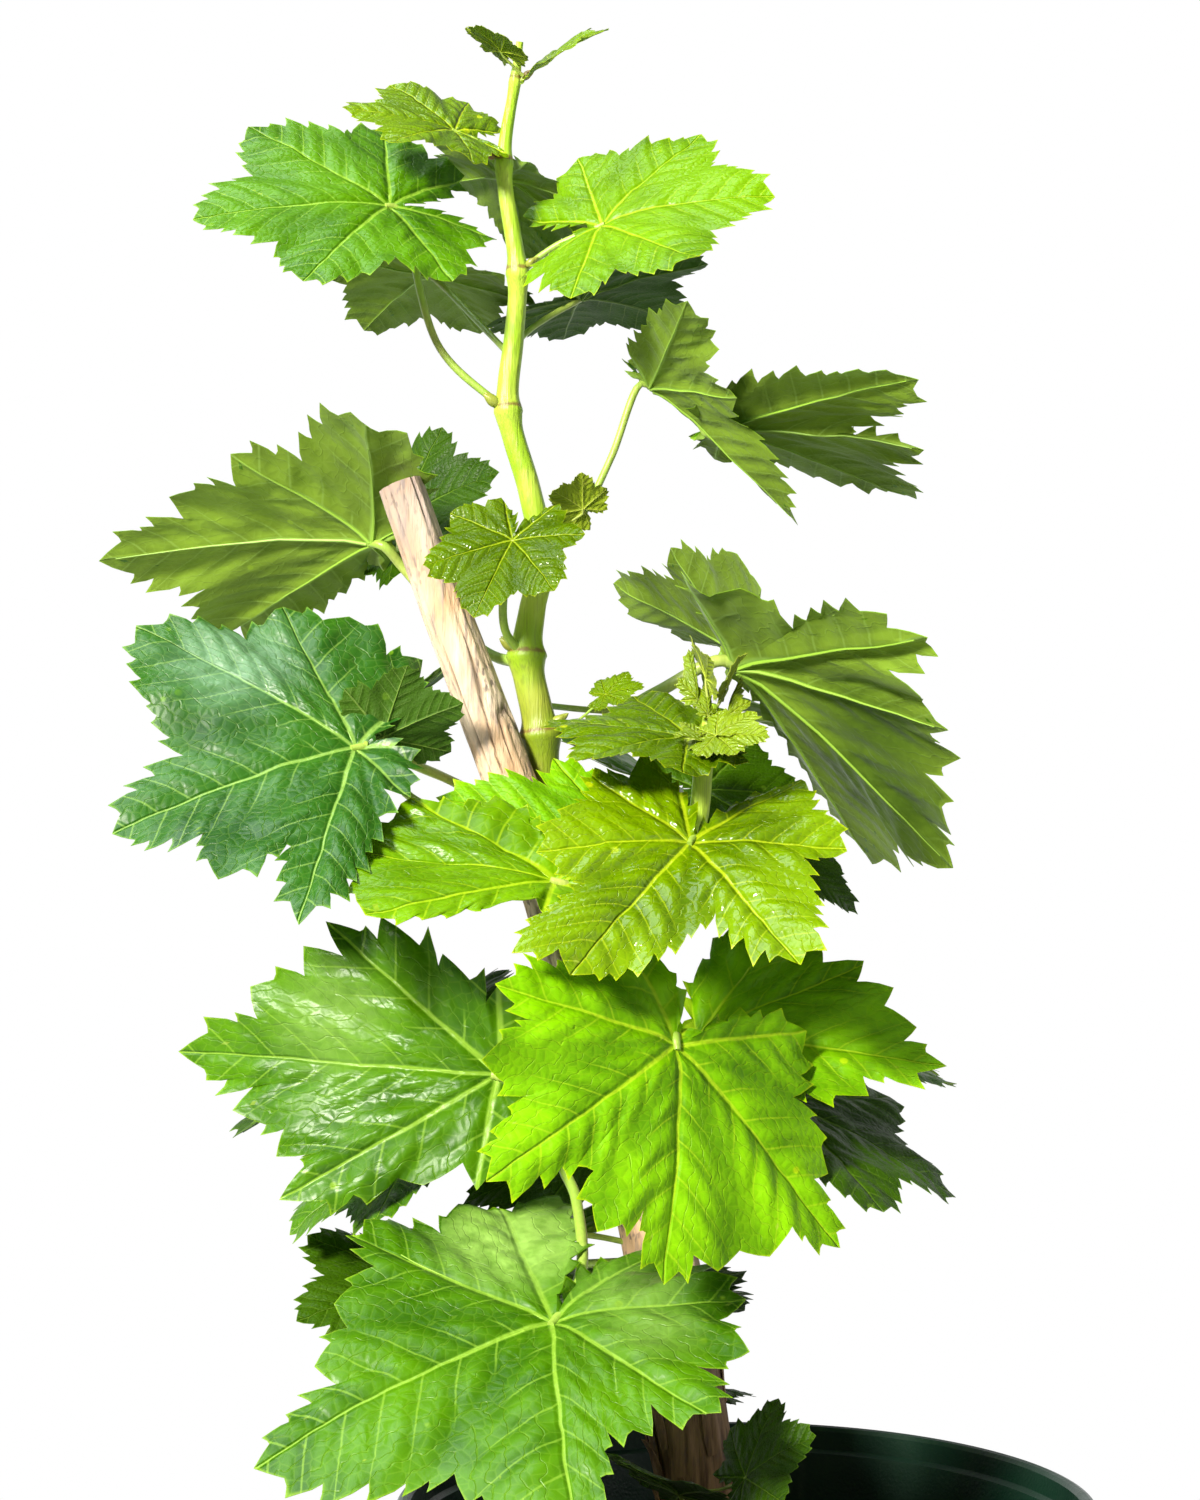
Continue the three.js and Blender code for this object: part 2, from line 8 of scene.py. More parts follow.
import bmesh
import bpy
import numpy as np
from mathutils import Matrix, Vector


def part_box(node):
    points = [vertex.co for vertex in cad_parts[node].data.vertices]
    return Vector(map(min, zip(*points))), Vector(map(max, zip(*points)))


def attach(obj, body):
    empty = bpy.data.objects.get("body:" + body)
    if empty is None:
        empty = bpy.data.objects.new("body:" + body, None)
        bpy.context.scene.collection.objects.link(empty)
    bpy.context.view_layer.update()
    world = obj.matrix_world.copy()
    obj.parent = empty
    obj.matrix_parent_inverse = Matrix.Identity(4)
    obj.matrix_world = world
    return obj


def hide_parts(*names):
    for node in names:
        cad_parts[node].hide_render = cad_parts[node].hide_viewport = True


bl_info = {
    "name": "Potted grapevine",
    "version": (1, 0, 0),
    "blender": (4, 5, 0),
    "location": "View3D > Sidebar > Grapevine",
    "description": "Dresses the packed grapevine with leaves, bark, soil and pot",
    "category": "Object",
}

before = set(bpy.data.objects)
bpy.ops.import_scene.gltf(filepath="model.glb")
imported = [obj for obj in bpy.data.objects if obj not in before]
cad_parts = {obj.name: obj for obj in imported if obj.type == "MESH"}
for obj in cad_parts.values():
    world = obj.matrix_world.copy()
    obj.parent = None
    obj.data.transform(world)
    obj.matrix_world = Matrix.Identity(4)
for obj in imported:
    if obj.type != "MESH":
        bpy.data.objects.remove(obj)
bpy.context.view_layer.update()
MM = 0.001
BODY = "root"

# ---- small mathematics ---------------------------------------------------------------------------


def turn(angle):
    return math.radians(angle)


def unit(vectors):
    vectors = np.asarray(vectors, float)
    return vectors / np.maximum(np.linalg.norm(vectors, axis=-1, keepdims=True), 1e-12)


def smooth_step(x, low=0.0, high=1.0):
    t = np.clip((np.asarray(x, float) - low) / (high - low), 0, 1)
    return t * t * (3 - 2 * t)


def grain(points, scale, seed=0):
    """Smooth noise from -1 to 1 at each point. scale is one number, or one for each axis."""
    place = np.atleast_2d(points) * scale + 17.3 * (seed + 1)
    cell = np.floor(place).astype(np.int64)
    part = smooth_step(place - cell)
    total = np.zeros(len(place))
    for corner in np.ndindex(2, 2, 2):
        x, y, z = (cell + corner).T
        key = (x * 73856093 ^ y * 19349663 ^ z * 83492791) & 0xFFFFFFFF
        key = ((key ^ (key >> 13)) * 1274126177) & 0xFFFFFFFF
        value = (key ^ (key >> 16)) / 2**31 - 1
        total += value * np.prod(np.where(corner, part, 1 - part), axis=1)
    return total


def rough(points, scale, seed=0, octaves=3):
    """Several sizes of noise laid over each other."""
    return sum(grain(points, np.asarray(scale) * 2**i, seed + i) / 2**i for i in range(octaves))


# ---- limbs: a route through points, with a girth along it ----------------------------------------


def spline(points, samples=24):
    """A centripetal Catmull-Rom curve through the points, as evenly dense runs of points."""
    points = [np.asarray(p, float) for p in points]
    points = [2 * points[0] - points[1], *points, 2 * points[-1] - points[-2]]
    out = []
    for p0, p1, p2, p3 in zip(points, points[1:], points[2:], points[3:]):
        d0, d1, d2 = (max(np.linalg.norm(b - a) ** 0.5, 1e-4) for a, b in ((p0, p1), (p1, p2), (p2, p3)))
        t1 = ((p1 - p0) / d0 - (p2 - p0) / (d0 + d1) + (p2 - p1) / d1) * d1
        t2 = ((p2 - p1) / d1 - (p3 - p1) / (d1 + d2) + (p3 - p2) / d2) * d1
        for t in np.arange(samples) / samples:
            bend, twist = 3 * (p2 - p1) - 2 * t1 - t2, 2 * (p1 - p2) + t1 + t2
            out.append(p1 + t1 * t + bend * t**2 + twist * t**3)
    return np.array([*out, points[-2]])


def even(line, count):
    """The same line as count points at even distances."""
    steps = np.r_[0, np.cumsum(np.linalg.norm(np.diff(line, axis=0), axis=1))]
    at = np.linspace(0, steps[-1], count)
    return np.column_stack([np.interp(at, steps, line[:, k]) for k in range(3)])


def length_of(line):
    return np.linalg.norm(np.diff(line, axis=0), axis=1).sum()


def across(line):
    """Two directions across a line at each of its points, carried along it without twisting."""
    ahead = unit(np.gradient(line, axis=0))
    side = np.cross(ahead[0], [0, 1, 0] if abs(ahead[0][1]) < 0.8 else [1, 0, 0])
    sides = []
    for direction in ahead:
        side = side - direction * side.dot(direction)
        side = side / np.linalg.norm(side)
        sides.append(side)
    return np.array(sides), np.cross(ahead, sides)


class Limb:
    def __init__(self, route, stations):
        self.line = spline(route)
        self.stations = np.array(stations)

    def at(self, height):
        line = even(self.line, 201)
        return line[np.abs(line[:, 2] - height).argmin()]

    def girth(self, share):
        return np.interp(share, self.stations[:, 0], self.stations[:, 1])


SOIL_TOP = 170
TRUNK = Limb(
    [
        (-10, 0, 156), (-18, 0, 215), (-38, 0, 320), (-65, 0, 401),
        (-80, 0, 442), (-103, 0, 503), (-120, 0, 551),
    ],
    [(0, 19), (0.05, 16.5), (0.12, 13.8), (0.38, 12.6), (0.6, 10.6), (0.72, 8.9), (1, 8.2)],
)
MAIN_SHOOT = Limb(
    [
        (-66, 8, 404), (-70, 11, 432), (-71, 8, 463), (-76, 6, 490), (-74, 5, 507),
        (-70.5, 4, 525), (-75, 2, 549), (-82.5, 0, 577), (-80.5, -2, 603), (-79, -6, 625),
        (-84, -9, 663), (-80, -14, 690), (-78, -18, 704),
    ],
    [
        (0, 6.2), (0.2, 5.9), (0.29, 5.4), (0.35, 4.6), (0.5, 4.1), (0.66, 3.6), (0.85, 2.7), (1, 1.2),
    ],
)
SHOOT_NODES = (463, 490, 525, 577, 625, 663, 690)
RIGHT_NODES = (398, 411, 452)
RIGHT_SHOOT = Limb(
    [
        (-54, -2, 366), (-44, -22, 388), (-30, -46, 409), (-19, -58, 428), (-16, -60, 450),
        (-13.5, -61, 468),
    ],
    [(0, 4.6), (0.5, 3.8), (0.85, 3), (1, 2.2)],
)

# ---- the leaves' plan ----------------------------------------------------------------------------
# A blade is described in its own plane from the junction with its stem: the midrib is at 0 degrees,
# and each lobe is (degrees from the midrib, reach as a share of the blade's length).

PLAIN = [(-148, 0.57), (-102, 0.7), (-48, 0.88), (0, 1), (48, 0.88), (102, 0.7), (148, 0.57)]
SINUS = (174, 0.08)
CROWDED = 22
NOTCH = {"crowded": 0.93, "front": 0.8, "back": 0.86}
BACK_LOBES = 200
SOFT = 0.06
CALM = (18, 6, 6, 0.08)


def leaf(junction, aim, length, **more):
    """aim: heading (0 to the front, 90 to the right), lift of the midrib and roll about it."""
    return {
        "junction": junction, "aim": aim, "length": length, "bend": CALM, "lobes": PLAIN,
        "notches": {}, "via": [], "start": None, "look": None, **more,
    }


def mass(limb, height, look, leaves):
    return {"limb": limb, "height": height, "look": look, "leaves": leaves}


FRONT = {
    "leaf_centre_top": mass(RIGHT_SHOOT, 398, "young", [
        leaf((-21, -78, 424), (-31, -44, -26), 68,
            via=[(-24, -64, 404)],
            bend=(12, 8, 12, 0.07),
            lobes=[
                (-134, 0.57), (-109, 0.61), (-55, 0.75), (-25, 1.13), (-11, 1.04), (50, 0.98), (105, 0.74),
                (150, 0.7),
            ],
            notches={3: (-32, 0.57), 5: (34, 0.48), 6: (92, 0.54)},
        ),
    ]),
    "leaf_centre_low": mass(TRUNK, 330, "bright", [
        leaf((-25, -92, 360), (-8, -69, -40), 84,
            via=[(-36, -45, 338)],
            bend=(16, -2, 1, 0.11),
            lobes=[
                (-166, 0.4), (-150, 0.42), (-98, 0.75), (-75, 0.83), (-49, 0.99), (-24, 0.84), (-2, 0.9),
                (13, 0.84), (30, 0.84), (49, 0.98), (63, 0.79), (108, 0.65), (126, 0.12),
            ],
            notches={5: (-37, 0.53), 11: (80, 0.54)},
        ),
    ]),
    "leaf_right_low": mass(TRUNK, 345, "mid", [
        leaf((-18, -42, 360), (86, -7, 50), 92,
            via=[(-31, -24, 352)],
            bend=(14, 6, 6, 0.06),
            lobes=[
                (-110, 0.3), (-60, 0.42), (-18, 0.66), (0, 0.9), (11, 0.8), (22, 0.74), (34, 0.69),
                (46, 0.6), (80, 0.5), (93, 0.36), (110, 0.08),
            ],
            notches={6: (27, 0.62)},
        ),
    ]),
    "leaf_left_low": mass(TRUNK, 352, "mid", [
        leaf((-84, -45, 347), (-104, 3, -80), 114,
            via=[(-64, -28, 352)],
            bend=(14, 12, 10, 0.08),
            lobes=[
                (-135, 0.25), (-88, 0.26), (-62, 0.38), (-49, 0.58), (-37, 0.69), (-29, 0.69), (-15, 0.79),
                (0, 1), (12, 0.8), (25, 0.69), (36, 0.71), (63, 0.38), (87, 0.34), (135, 0.2),
            ],
            notches={5: (-33, 0.57), 10: (29, 0.55), 11: (52, 0.41)},
        ),
    ]),
    "leaf_front_base": mass(TRUNK, 325, "mid", [
        leaf((-65, -88, 276), (-23, -39, 2), 96,
            via=[(-62, -22, 317), (-58, -38, 306), (-56, -64, 286)],
            bend=(24, 20, -6, 0.06),
            lobes=[
                (-158, 0.73), (-128, 0.7), (-103, 0.8), (-72, 0.71), (-55, 0.78), (-40, 1.06), (24, 0.87),
                (48, 0.66), (64, 0.76), (91, 0.66), (114, 0.63), (138, 0.6), (165, 0.5),
            ],
            notches={3: (-87, 0.62), 8: (54, 0.56)},
        ),
    ]),
    "leaf_left_mid": mass(MAIN_SHOOT, 418, "dark", [
        leaf((-132, -35, 457), (-71, -19, -47), 87,
            via=[(-93, 18, 441), (-117, -15, 452)],
            bend=(13, 12, 12, 0.08),
            lobes=[
                (-140, 0.57), (-109, 0.67), (-88, 0.73), (-56, 1.04), (2, 1), (36, 0.92), (57, 1.04),
                (96, 0.42), (128, 0.3),
            ],
            notches={3: (-72, 0.68), 4: (-17, 0.66), 6: (46, 0.55)},
        ),
        leaf((-124, -24, 460), (84, 22, -58), 30, start=(-129, -33, 457), bend=(18, 20, 20, 0.06)),
    ]),
    "leaf_left_bright": mass(TRUNK, 388, "young", [
        leaf((-64, -68, 412), (-92, 5, -36), 88,
            via=[(-58, -36, 398)],
            bend=(14, 8, 8, 0.08),
            lobes=[
                (-120, 0.25), (-73, 0.24), (-56, 0.5), (-44, 0.52), (-28, 0.66), (0, 0.96), (33, 0.76),
                (62, 0.3), (85, 0.27), (150, 0.2),
            ],
            notches={5: (-17, 0.68), 6: (16, 0.74), 7: (45, 0.42)},
        ),
    ]),
    "leaf_behind_bright": mass(TRUNK, 380, "bright", [
        leaf((-38, -30, 420), (-92, 17, -50), 64,
            via=[(-45, -22, 402)],
            lobes=[(-100, 0.4), (-36, 0.72), (0, 1.11), (28, 0.84), (80, 0.5)],
        ),
    ]),
    "leaf_small_front": mass(MAIN_SHOOT, 490, "young", [
        leaf((-80, -25, 528), (-33, -53, -19), 37,
            via=[(-83, -4, 498), (-83, -16, 513)],
            bend=(6, 9, 9, 0.08),
            stem=1.8,
        ),
    ]),
    "leaf_bud_upper": mass(MAIN_SHOOT, 530, "young", [
        leaf((-56, -8, 541), (-45, 18, 47), 16, via=[(-62, -4, 536)]),
    ]),
    "leaf_left_high": mass(MAIN_SHOOT, 489, "mid", [
        leaf((-133, 38, 537), (-102, -6, 45), 97,
            via=[(-87, 14, 491), (-104, 30, 505), (-122, 38, 526)],
            bend=(25, 16, -7, 0.09),
            lobes=[
                (-140, 0.12), (-60, 0.2), (-36, 0.88), (-26, 0.95), (5, 1.1), (23, 0.8), (49, 0.64),
                (105, 0.71), (123, 0.69),
            ],
            notches={6: (38, 0.56), 7: (70, 0.44)},
        ),
        leaf((-125, 55, 547), (67, 21, 66), 44, start=(-124, 39, 528), bend=(20, 10, 10, 0.06)),
    ]),
    "leaf_right_mid": mass(MAIN_SHOOT, 463, "mid", [
        leaf((1, 30, 491), (107, -45, -6), 116,
            via=[(-50, 20, 468), (-29, 30, 480)],
            bend=(12, 5, 12, 0.05),
            lobes=[
                (-150, 0.42), (-120, 0.45), (-86, 0.84), (-79, 0.92), (-65, 0.77), (-54, 0.8), (-40, 0.78),
                (-17, 0.85), (-7, 0.94), (30, 1.05), (55, 0.22), (120, 0.08),
            ],
            notches={2: (-92, 0.38), 4: (-72, 0.68), 6: (-45, 0.62), 7: (-30, 0.68), 9: (10, 0.77)},
        ),
        leaf((2, 50, 497), (-140, 19, 29), 69,
            start=(-3, 29, 490),
            bend=(10, 15, 28, 0.02),
            lobes=[(-148, 0.4), (-102, 0.5), (-28, 1.06), (8, 1.06), (56, 0.68), (107, 0.75), (125, 0.76)],
        ),
    ]),
    "leaf_right_high": mass(MAIN_SHOOT, 525, "mid", [
        leaf((-31, 10, 589), (102, -41, 4), 67,
            via=[(-57, 6, 540), (-46, 8, 562)],
            bend=(7, 17, 15, 0.01),
            lobes=[(-147, 0.3), (-100, 0.89), (-54, 0.61), (0, 1.09), (58, 0.85), (110, 0.4)],
        ),
        leaf((-6, 18, 575), (79, -11, -14), 86,
            start=(-30, 12, 588),
            via=[(-18, 16, 583)],
            bend=(19, 8, 8, 0.07),
            lobes=[(-100, 0.3), (-35, 1.01), (-3, 0.86), (41, 1.05), (100, 0.4)],
            notches={2: (7, 0.42)},
        ),
    ]),
    "leaf_right_shade": mass(TRUNK, 318, "dark", [
        leaf((10, -32, 338), (93, -29, 21), 68, via=[(-15, -25, 328)], bend=(16, 3, 3, 0.09)),
    ]),
    "leaf_shade_centre": mass(RIGHT_SHOOT, 408, "dark", [
        leaf((-13, 14, 444), (110, -6, 46), 44, via=[(-18, -20, 425)]),
    ]),
    "leaf_shade_right": mass(RIGHT_SHOOT, 414, "dark", [
        leaf((7, -40, 421), (83, -36, 19), 36, via=[(-8, -42, 417)]),
    ]),
    "leaf_left_under": mass(TRUNK, 330, "mid", [
        leaf((-109, -5, 325), (-79, -36, -18), 59, via=[(-75, -2, 335)]),
    ]),
    "leaf_left_base": mass(TRUNK, 285, "dark", [
        leaf((-108, -5, 271), (-54, -6, -29), 53, via=[(-65, -12, 290)]),
    ]),
    "leaf_shade_low": mass(TRUNK, 296, "dark", [
        leaf((-55, 22, 314), (-88, -22, -33), 47, via=[(-45, 16, 302)]),
    ]),
    "leaf_rim_right": mass(TRUNK, 200, "dark", [
        leaf((-5, -75, 224), (57, 32, 51), 30, via=[(-9, -40, 212)]),
    ]),
    "leaf_rim_front": mass(TRUNK, 190, "dark", [
        leaf((-24, -50, 213), (-30, 24, -10), 34, via=[(-20, -28, 203)]),
    ]),
    "leaf_shoot_young": mass(RIGHT_SHOOT, 452, "young", [
        leaf((-21, -62, 458), (-107, 4, -22), 49, bend=(16, 3, 4, 0.09)),
    ]),
    "shoot_apex": mass(RIGHT_SHOOT, 460, "young", [
        leaf((-13, -76, 457), (70, -4, 40), 18, via=[(-14, -70, 457)]),
        leaf((-15, -63, 476), (-60, 62, -20), 15, start=(-14, -62, 464)),
        leaf((-9, -62, 474), (60, 55, 20), 13, start=(-14, -62, 464)),
    ]),
    "leaf_bud_right": mass(MAIN_SHOOT, 463, "young", [
        leaf((-48, -8, 476), (80, 9, 42), 14, via=[(-58, -2, 467)]),
    ]),
}
# The young top of the shoot.
TOP = {
    "leaf_top_left": mass(MAIN_SHOOT, 577, "mid", [
        leaf((-124, -8, 650), (-75, -10, -50), 70, via=[(-107, 0, 600)]),
    ]),
    "leaf_top_right": mass(MAIN_SHOOT, 625, "bright", [
        leaf((-50, -15, 641), (80, 6, 50), 62, via=[(-66, -8, 634)]),
    ]),
    "leaf_top_back": mass(MAIN_SHOOT, 640, "mid", [
        leaf((-84, 34, 672), (175, -18, 30), 54, via=[(-83, 14, 660)]),
    ]),
    "leaf_top_young": mass(MAIN_SHOOT, 663, "young", [
        leaf((-101, -10, 676), (-80, 5, -40), 40, via=[(-93, -10, 671)]),
    ]),
    "leaf_tip": mass(MAIN_SHOOT, 690, "young", [
        leaf((-68, -20, 697), (70, 20, 30), 24, via=[(-74, -17, 694)]),
        leaf((-84, -26, 698), (-40, 15, -20), 17, start=(-77, -18, 692)),
    ]),
}
# The leaves of the back, which hang away from the front.
BACK = [
    ("mid", MAIN_SHOOT, 596, (-114, 50, 640), (-150, -8, 15), 60),
    ("dark", MAIN_SHOOT, 570, (-58, 54, 632), (140, 2, -15), 58, [(-80, 40, 612)]),
    ("mid", MAIN_SHOOT, 474, (32, 86, 474), (112, -30, 0), 58, [(-50, 40, 474), (-10, 62, 474)]),
    ("dark", TRUNK, 410, (-142, 62, 468), (-150, -28, -30), 84, [(-98, 32, 432), (-122, 50, 444)]),
    ("mid", MAIN_SHOOT, 430, (-22, 74, 446), (150, -16, 25), 78),
    ("mid", TRUNK, 384, (-66, 60, 414), (-172, -6, 10), 80, [(-58, 34, 392)]),
    ("dark", TRUNK, 372, (-124, 52, 352), (-140, -22, -25), 80),
    ("mid", TRUNK, 342, (24, 64, 354), (125, -16, 15), 70),
    ("mid", TRUNK, 335, (-52, 74, 330), (178, -26, 5), 92),
    ("dark", TRUNK, 300, (6, 38, 316), (100, -12, 10), 56),
    ("mid", TRUNK, 280, (-84, 54, 272), (-138, -24, -15), 82),
    ("dark", TRUNK, 255, (-40, 66, 262), (175, -30, 0), 66),
    ("mid", TRUNK, 225, (-64, 40, 228), (-118, -16, -20), 66),
    ("dark", TRUNK, 212, (-28, 62, 226), (165, -14, 10), 46),
]

# Where a mass has another finish than its solid's own.
OWN_LOOKS = {  # by node, or by node and number of the blade
    "leaf_left_mid": "blue", "leaf_left_mid 1": "dark", "leaf_left_high 1": "dark",
    "leaf_right_low": "bright", "leaf_left_bright": "fresh", "shoot_apex": "tender",
    "leaf_top_right": "fresh", "leaf_bud_upper": "tender", "leaf_right_mid 0": "shaded",
    "leaf_small_front": "olive", "leaf_shoot_young": "olive",
}
# Soft patches of painted light on the first blade of a mass: (angle, reach, radius, strength). A patch
# is a painted pale sheen on the upper face where the blade's look has a colour for painted sheen, and
# a painted shade on the underside where the look has a colour for painted shade.
PAINTED_LIGHT_PATCHES = {
    "leaf_front_base": [
        (-142, 0.45, 0.27, 0.95), (-159, 0.6, 0.16, 0.8), (132, 0.28, 0.18, 0.42), (92, 0.34, 0.15, 0.36),
    ],
    "leaf_left_low": [(-15, 0.52, 0.17, 0.4)],
    "leaf_left_mid": [(-60, 0.62, 0.24, 0.5)],
    # On this blade the patches are painted shade, darkening its underside.
    "leaf_right_mid": [(-4, 0.62, 0.3, 1.0), (-40, 0.5, 0.22, 0.9), (-24, 0.85, 0.2, 0.8)],
}
SLIM = [(-140, 0.2), (-80, 0.34), (-36, 0.62), (0, 1), (36, 0.62), (80, 0.34), (140, 0.2)]
APEX = [  # the curled leaflets round the tip of the right shoot
    leaf((-18, -64, 469), (214, 72, 0), 18, start=(-14, -62, 460), bend=(10, -48, -48, 0.05), lobes=SLIM),
    leaf((-15, -66, 464), (190, 58, 12), 12, start=(-14, -62, 460), bend=(25, -24, -24, 0.05), lobes=SLIM),
    leaf((-9, -65, 463), (140, 60, -12), 17, start=(-14, -62, 458), bend=(20, -50, -50, 0.05), lobes=SLIM),
    leaf((-11, -70, 457), (58, 10, 24), 13, start=(-14, -64, 457), bend=(-20, 18, 24, 0.05)),
    leaf((-16, -70, 456), (-72, 2, -24), 11, start=(-14, -64, 456), bend=(16, 24, 18, 0.05)),
]
OWN_VEINS = {  # the seven main veins of a leaf whose lobes don't tell them
    "leaf_centre_top": (-150, -105, -55, -11, 50, 106, 149),
    "leaf_front_base": (-140, -96, -40, 24, 62, 114, 158),
    "leaf_right_low": (-150, -104, -50, 0, 33, 62, 105),
    "leaf_left_high": (-150, -100, -31, 5, 49, 110, 155),
}

# ---- from plan to blade --------------------------------------------------------------------------
# Veins run at even steps of VEIN_STEP round a blade's UV map, whatever its own lobes' angles are.

VEIN_STEP = 52.5
VEIN_RANGES = ((22, 78), (78, 128))  # where the first and the second pair of side lobes are looked for
UV_SHARE = 0.4  # a blade's length on its UV map
LARGE, MIDDLE, FEW_TEETH = 60, 35, 45  # lengths from which a blade is large or middling, or has all teeth
RIM_RINGS = (1, 0.982, 0.955, 0.91)  # the outer rings of a blade, as shares of the way out
RIM_TEETH = (1, 0.66, 0.32, 0.08)  # how much of the teeth's shape each of them takes
COARSE = 0.34  # within this share a ring has a quarter of the rim's points
SIDE_VEINS = 0.135  # distance between side veins along a main vein, as a share of the blade's length
RINGS = {"front": 38, "large": 20, "middle": 16, "small": 10}  # rings of a blade, by its size
# From this share out, a ring has all of the rim's points.
FINE = {"front": 0.6, "large": 0.88, "middle": 0.88, "small": 0.88}


def flat(angle, reach):
    return np.array([reach * math.cos(turn(angle)), reach * math.sin(turn(angle))])


def corners_of(plan):
    """The blade's corners in the order of their angles: its sinus, lobes and the notches between."""
    corners = [(-SINUS[0], SINUS[1])]
    previous = None
    for i, (angle, reach) in enumerate(plan["lobes"]):
        if previous:
            angle0, reach0 = previous
            between = (angle * reach0 + angle0 * reach) / (reach + reach0)
            side = "front" if abs(angle + angle0) < BACK_LOBES else "back"
            depth = NOTCH["crowded" if angle - angle0 < CROWDED else side]
            corners.append(plan["notches"].get(i, (between, depth * min(reach, reach0))))
        corners.append((angle, reach))
        previous = (angle, reach)
    return [*corners, SINUS]


def toothed_edge(a, b, to_tip, dice, spacing, tooth):
    """Points from corner a up to corner b: [plain x, y, toothed x, y, how far out on a tooth]."""
    chord = b - a
    span = np.linalg.norm(chord)
    out = np.array([chord[1], -chord[0]]) / span
    ahead = chord / span * (1 if to_tip else -1)
    bulge = 0.085 * span * min(1, span / 0.35)
    count = max(1, round(span / spacing))
    widths = dice.uniform(0.6, 1.45, count)
    stops = np.append(0, np.cumsum(widths) / widths.sum())
    marks = []
    for k, (low, high) in enumerate(zip(stops, stops[1:])):
        last = k == count - 1
        peak = high if last else low + dice.uniform(0.6, 0.78) * (high - low)
        size = min(1.25, (high - low) * span / spacing)
        height = 0 if last else tooth * dice.uniform(0.55, 1.25) * size
        marks += [(low + (peak - low) * f, height * f**0.6, 0.5 * f) for f in (0, 0.25, 0.6)]
        if not last:
            marks += [(peak, height * 1.15, 1), (peak + (high - peak) * 0.45, height * 0.45, 0.3)]
    marks.append((1, 0, 1))
    if not to_tip:
        marks = [(1 - t, height, tip) for t, height, tip in reversed(marks)]
    rows = []
    for t, height, tip in marks[:-1]:
        plain = a + chord * t + out * bulge * 4 * t * (1 - t)
        rows.append([*plain, *(plain + (out + 0.5 * ahead) * height), tip])
    return rows


def rim_of(plan, dice, settings):
    spacing = settings.tooth_spacing * (1.25 if plan["length"] < FEW_TEETH else 1)
    corners = [flat(*corner) for corner in corners_of(plan)]
    rows = []
    for i, (a, b) in enumerate(zip(corners, corners[1:])):
        rows += toothed_edge(a, b, i % 2 == 0, dice, spacing, settings.tooth_height)
    rows.append([*corners[-1], *corners[-1], 0])
    rows = np.array(rows)
    while len(rows) % 4:
        rows = np.insert(rows, -1, (rows[-1] + rows[-2]) / 2, axis=0)
    return rows


def vein_angles(lobes, own_veins=None):
    """Pairs of (a lobe's own angle, its even step on the UV map) from -180 to 180 degrees."""
    if own_veins:
        return [(-180, -180), *zip(own_veins, (VEIN_STEP * k for k in range(-3, 4))), (180, 180)]
    middle = min(lobes, key=lambda lobe: abs(lobe[0]))[0]
    pairs = [(-180, -180), (middle if abs(middle) < 15 else 0, 0), (180, 180)]
    for side in (-1, 1):
        for step, (low, high) in enumerate(VEIN_RANGES, start=1):
            near = [lobe for lobe in lobes if low <= side * lobe[0] < high]
            own = max(near, key=lambda lobe: lobe[1])[0] if near else side * VEIN_STEP * step * 0.97
            pairs.append((own, side * VEIN_STEP * step))
        pairs.append((side * 150, side * VEIN_STEP * 3))
    return sorted(pairs)


def on_map(points, pairs):
    """Flat points, in shares of the blade's length, as polar places on the UV map."""
    reach = np.hypot(points[:, 0], points[:, 1])
    angle = np.degrees(np.arctan2(points[:, 1], points[:, 0]))
    own, even_step = np.array(pairs).T
    return reach, np.interp(angle, own, even_step)


def relief(reach, angle, share, plan, look, seed):
    """Height of the upper face, in shares of the length: veins lie sunk between domed fields."""
    size = np.abs(angle)
    off = VEIN_STEP / 2 - np.abs(size % VEIN_STEP - VEIN_STEP / 2)
    main = reach * np.sin(np.radians(off))
    along = reach * np.cos(np.radians(off))
    parity = np.floor(size / (VEIN_STEP / 2)) % 2
    line = along - 0.7 * main - 0.6 * main**2 + SIDE_VEINS * (parity / 2 + (angle > 0) / 4)
    side = np.abs((line / SIDE_VEINS) % 1 - 0.5) * 2
    inside = smooth_step(1 - share, 0, 0.12)
    near = np.exp(-((main / 0.035) ** 2))
    field = (1 - smooth_step(off, 15, 25)) * (1 - near) * smooth_step(reach, 0.06, 0.3) * inside
    quilt = look["quilt"] * (1 - side**2.2) * field
    valley = -look["quilt"] * 1.3 * near * inside
    phase = 2 * math.pi * np.array([grain([[seed, k, 0.5]], 1.7)[0] for k in range(3)])
    around = np.radians(angle)
    ruffle = 0.02 * np.sin(5 * around + phase[0]) + 0.013 * np.sin(11 * around + phase[1])
    ruffle = (ruffle + 0.006 * np.sin(23 * around + phase[2])) * share**3 * look["ruffle"]
    spots = np.column_stack([reach * np.cos(around), reach * np.sin(around), np.full_like(reach, seed)])
    lumps = 0.012 * grain(spots, 7, seed)
    blisters = 0.2 * look["quilt"] * grain(spots, 19, seed + 7) * (1 - near)
    rough_field = (lumps + blisters) * smooth_step(reach, 0.05, 0.3)
    return quilt + valley + ruffle + rough_field - 0.02 * np.exp(-((reach / 0.06) ** 2))


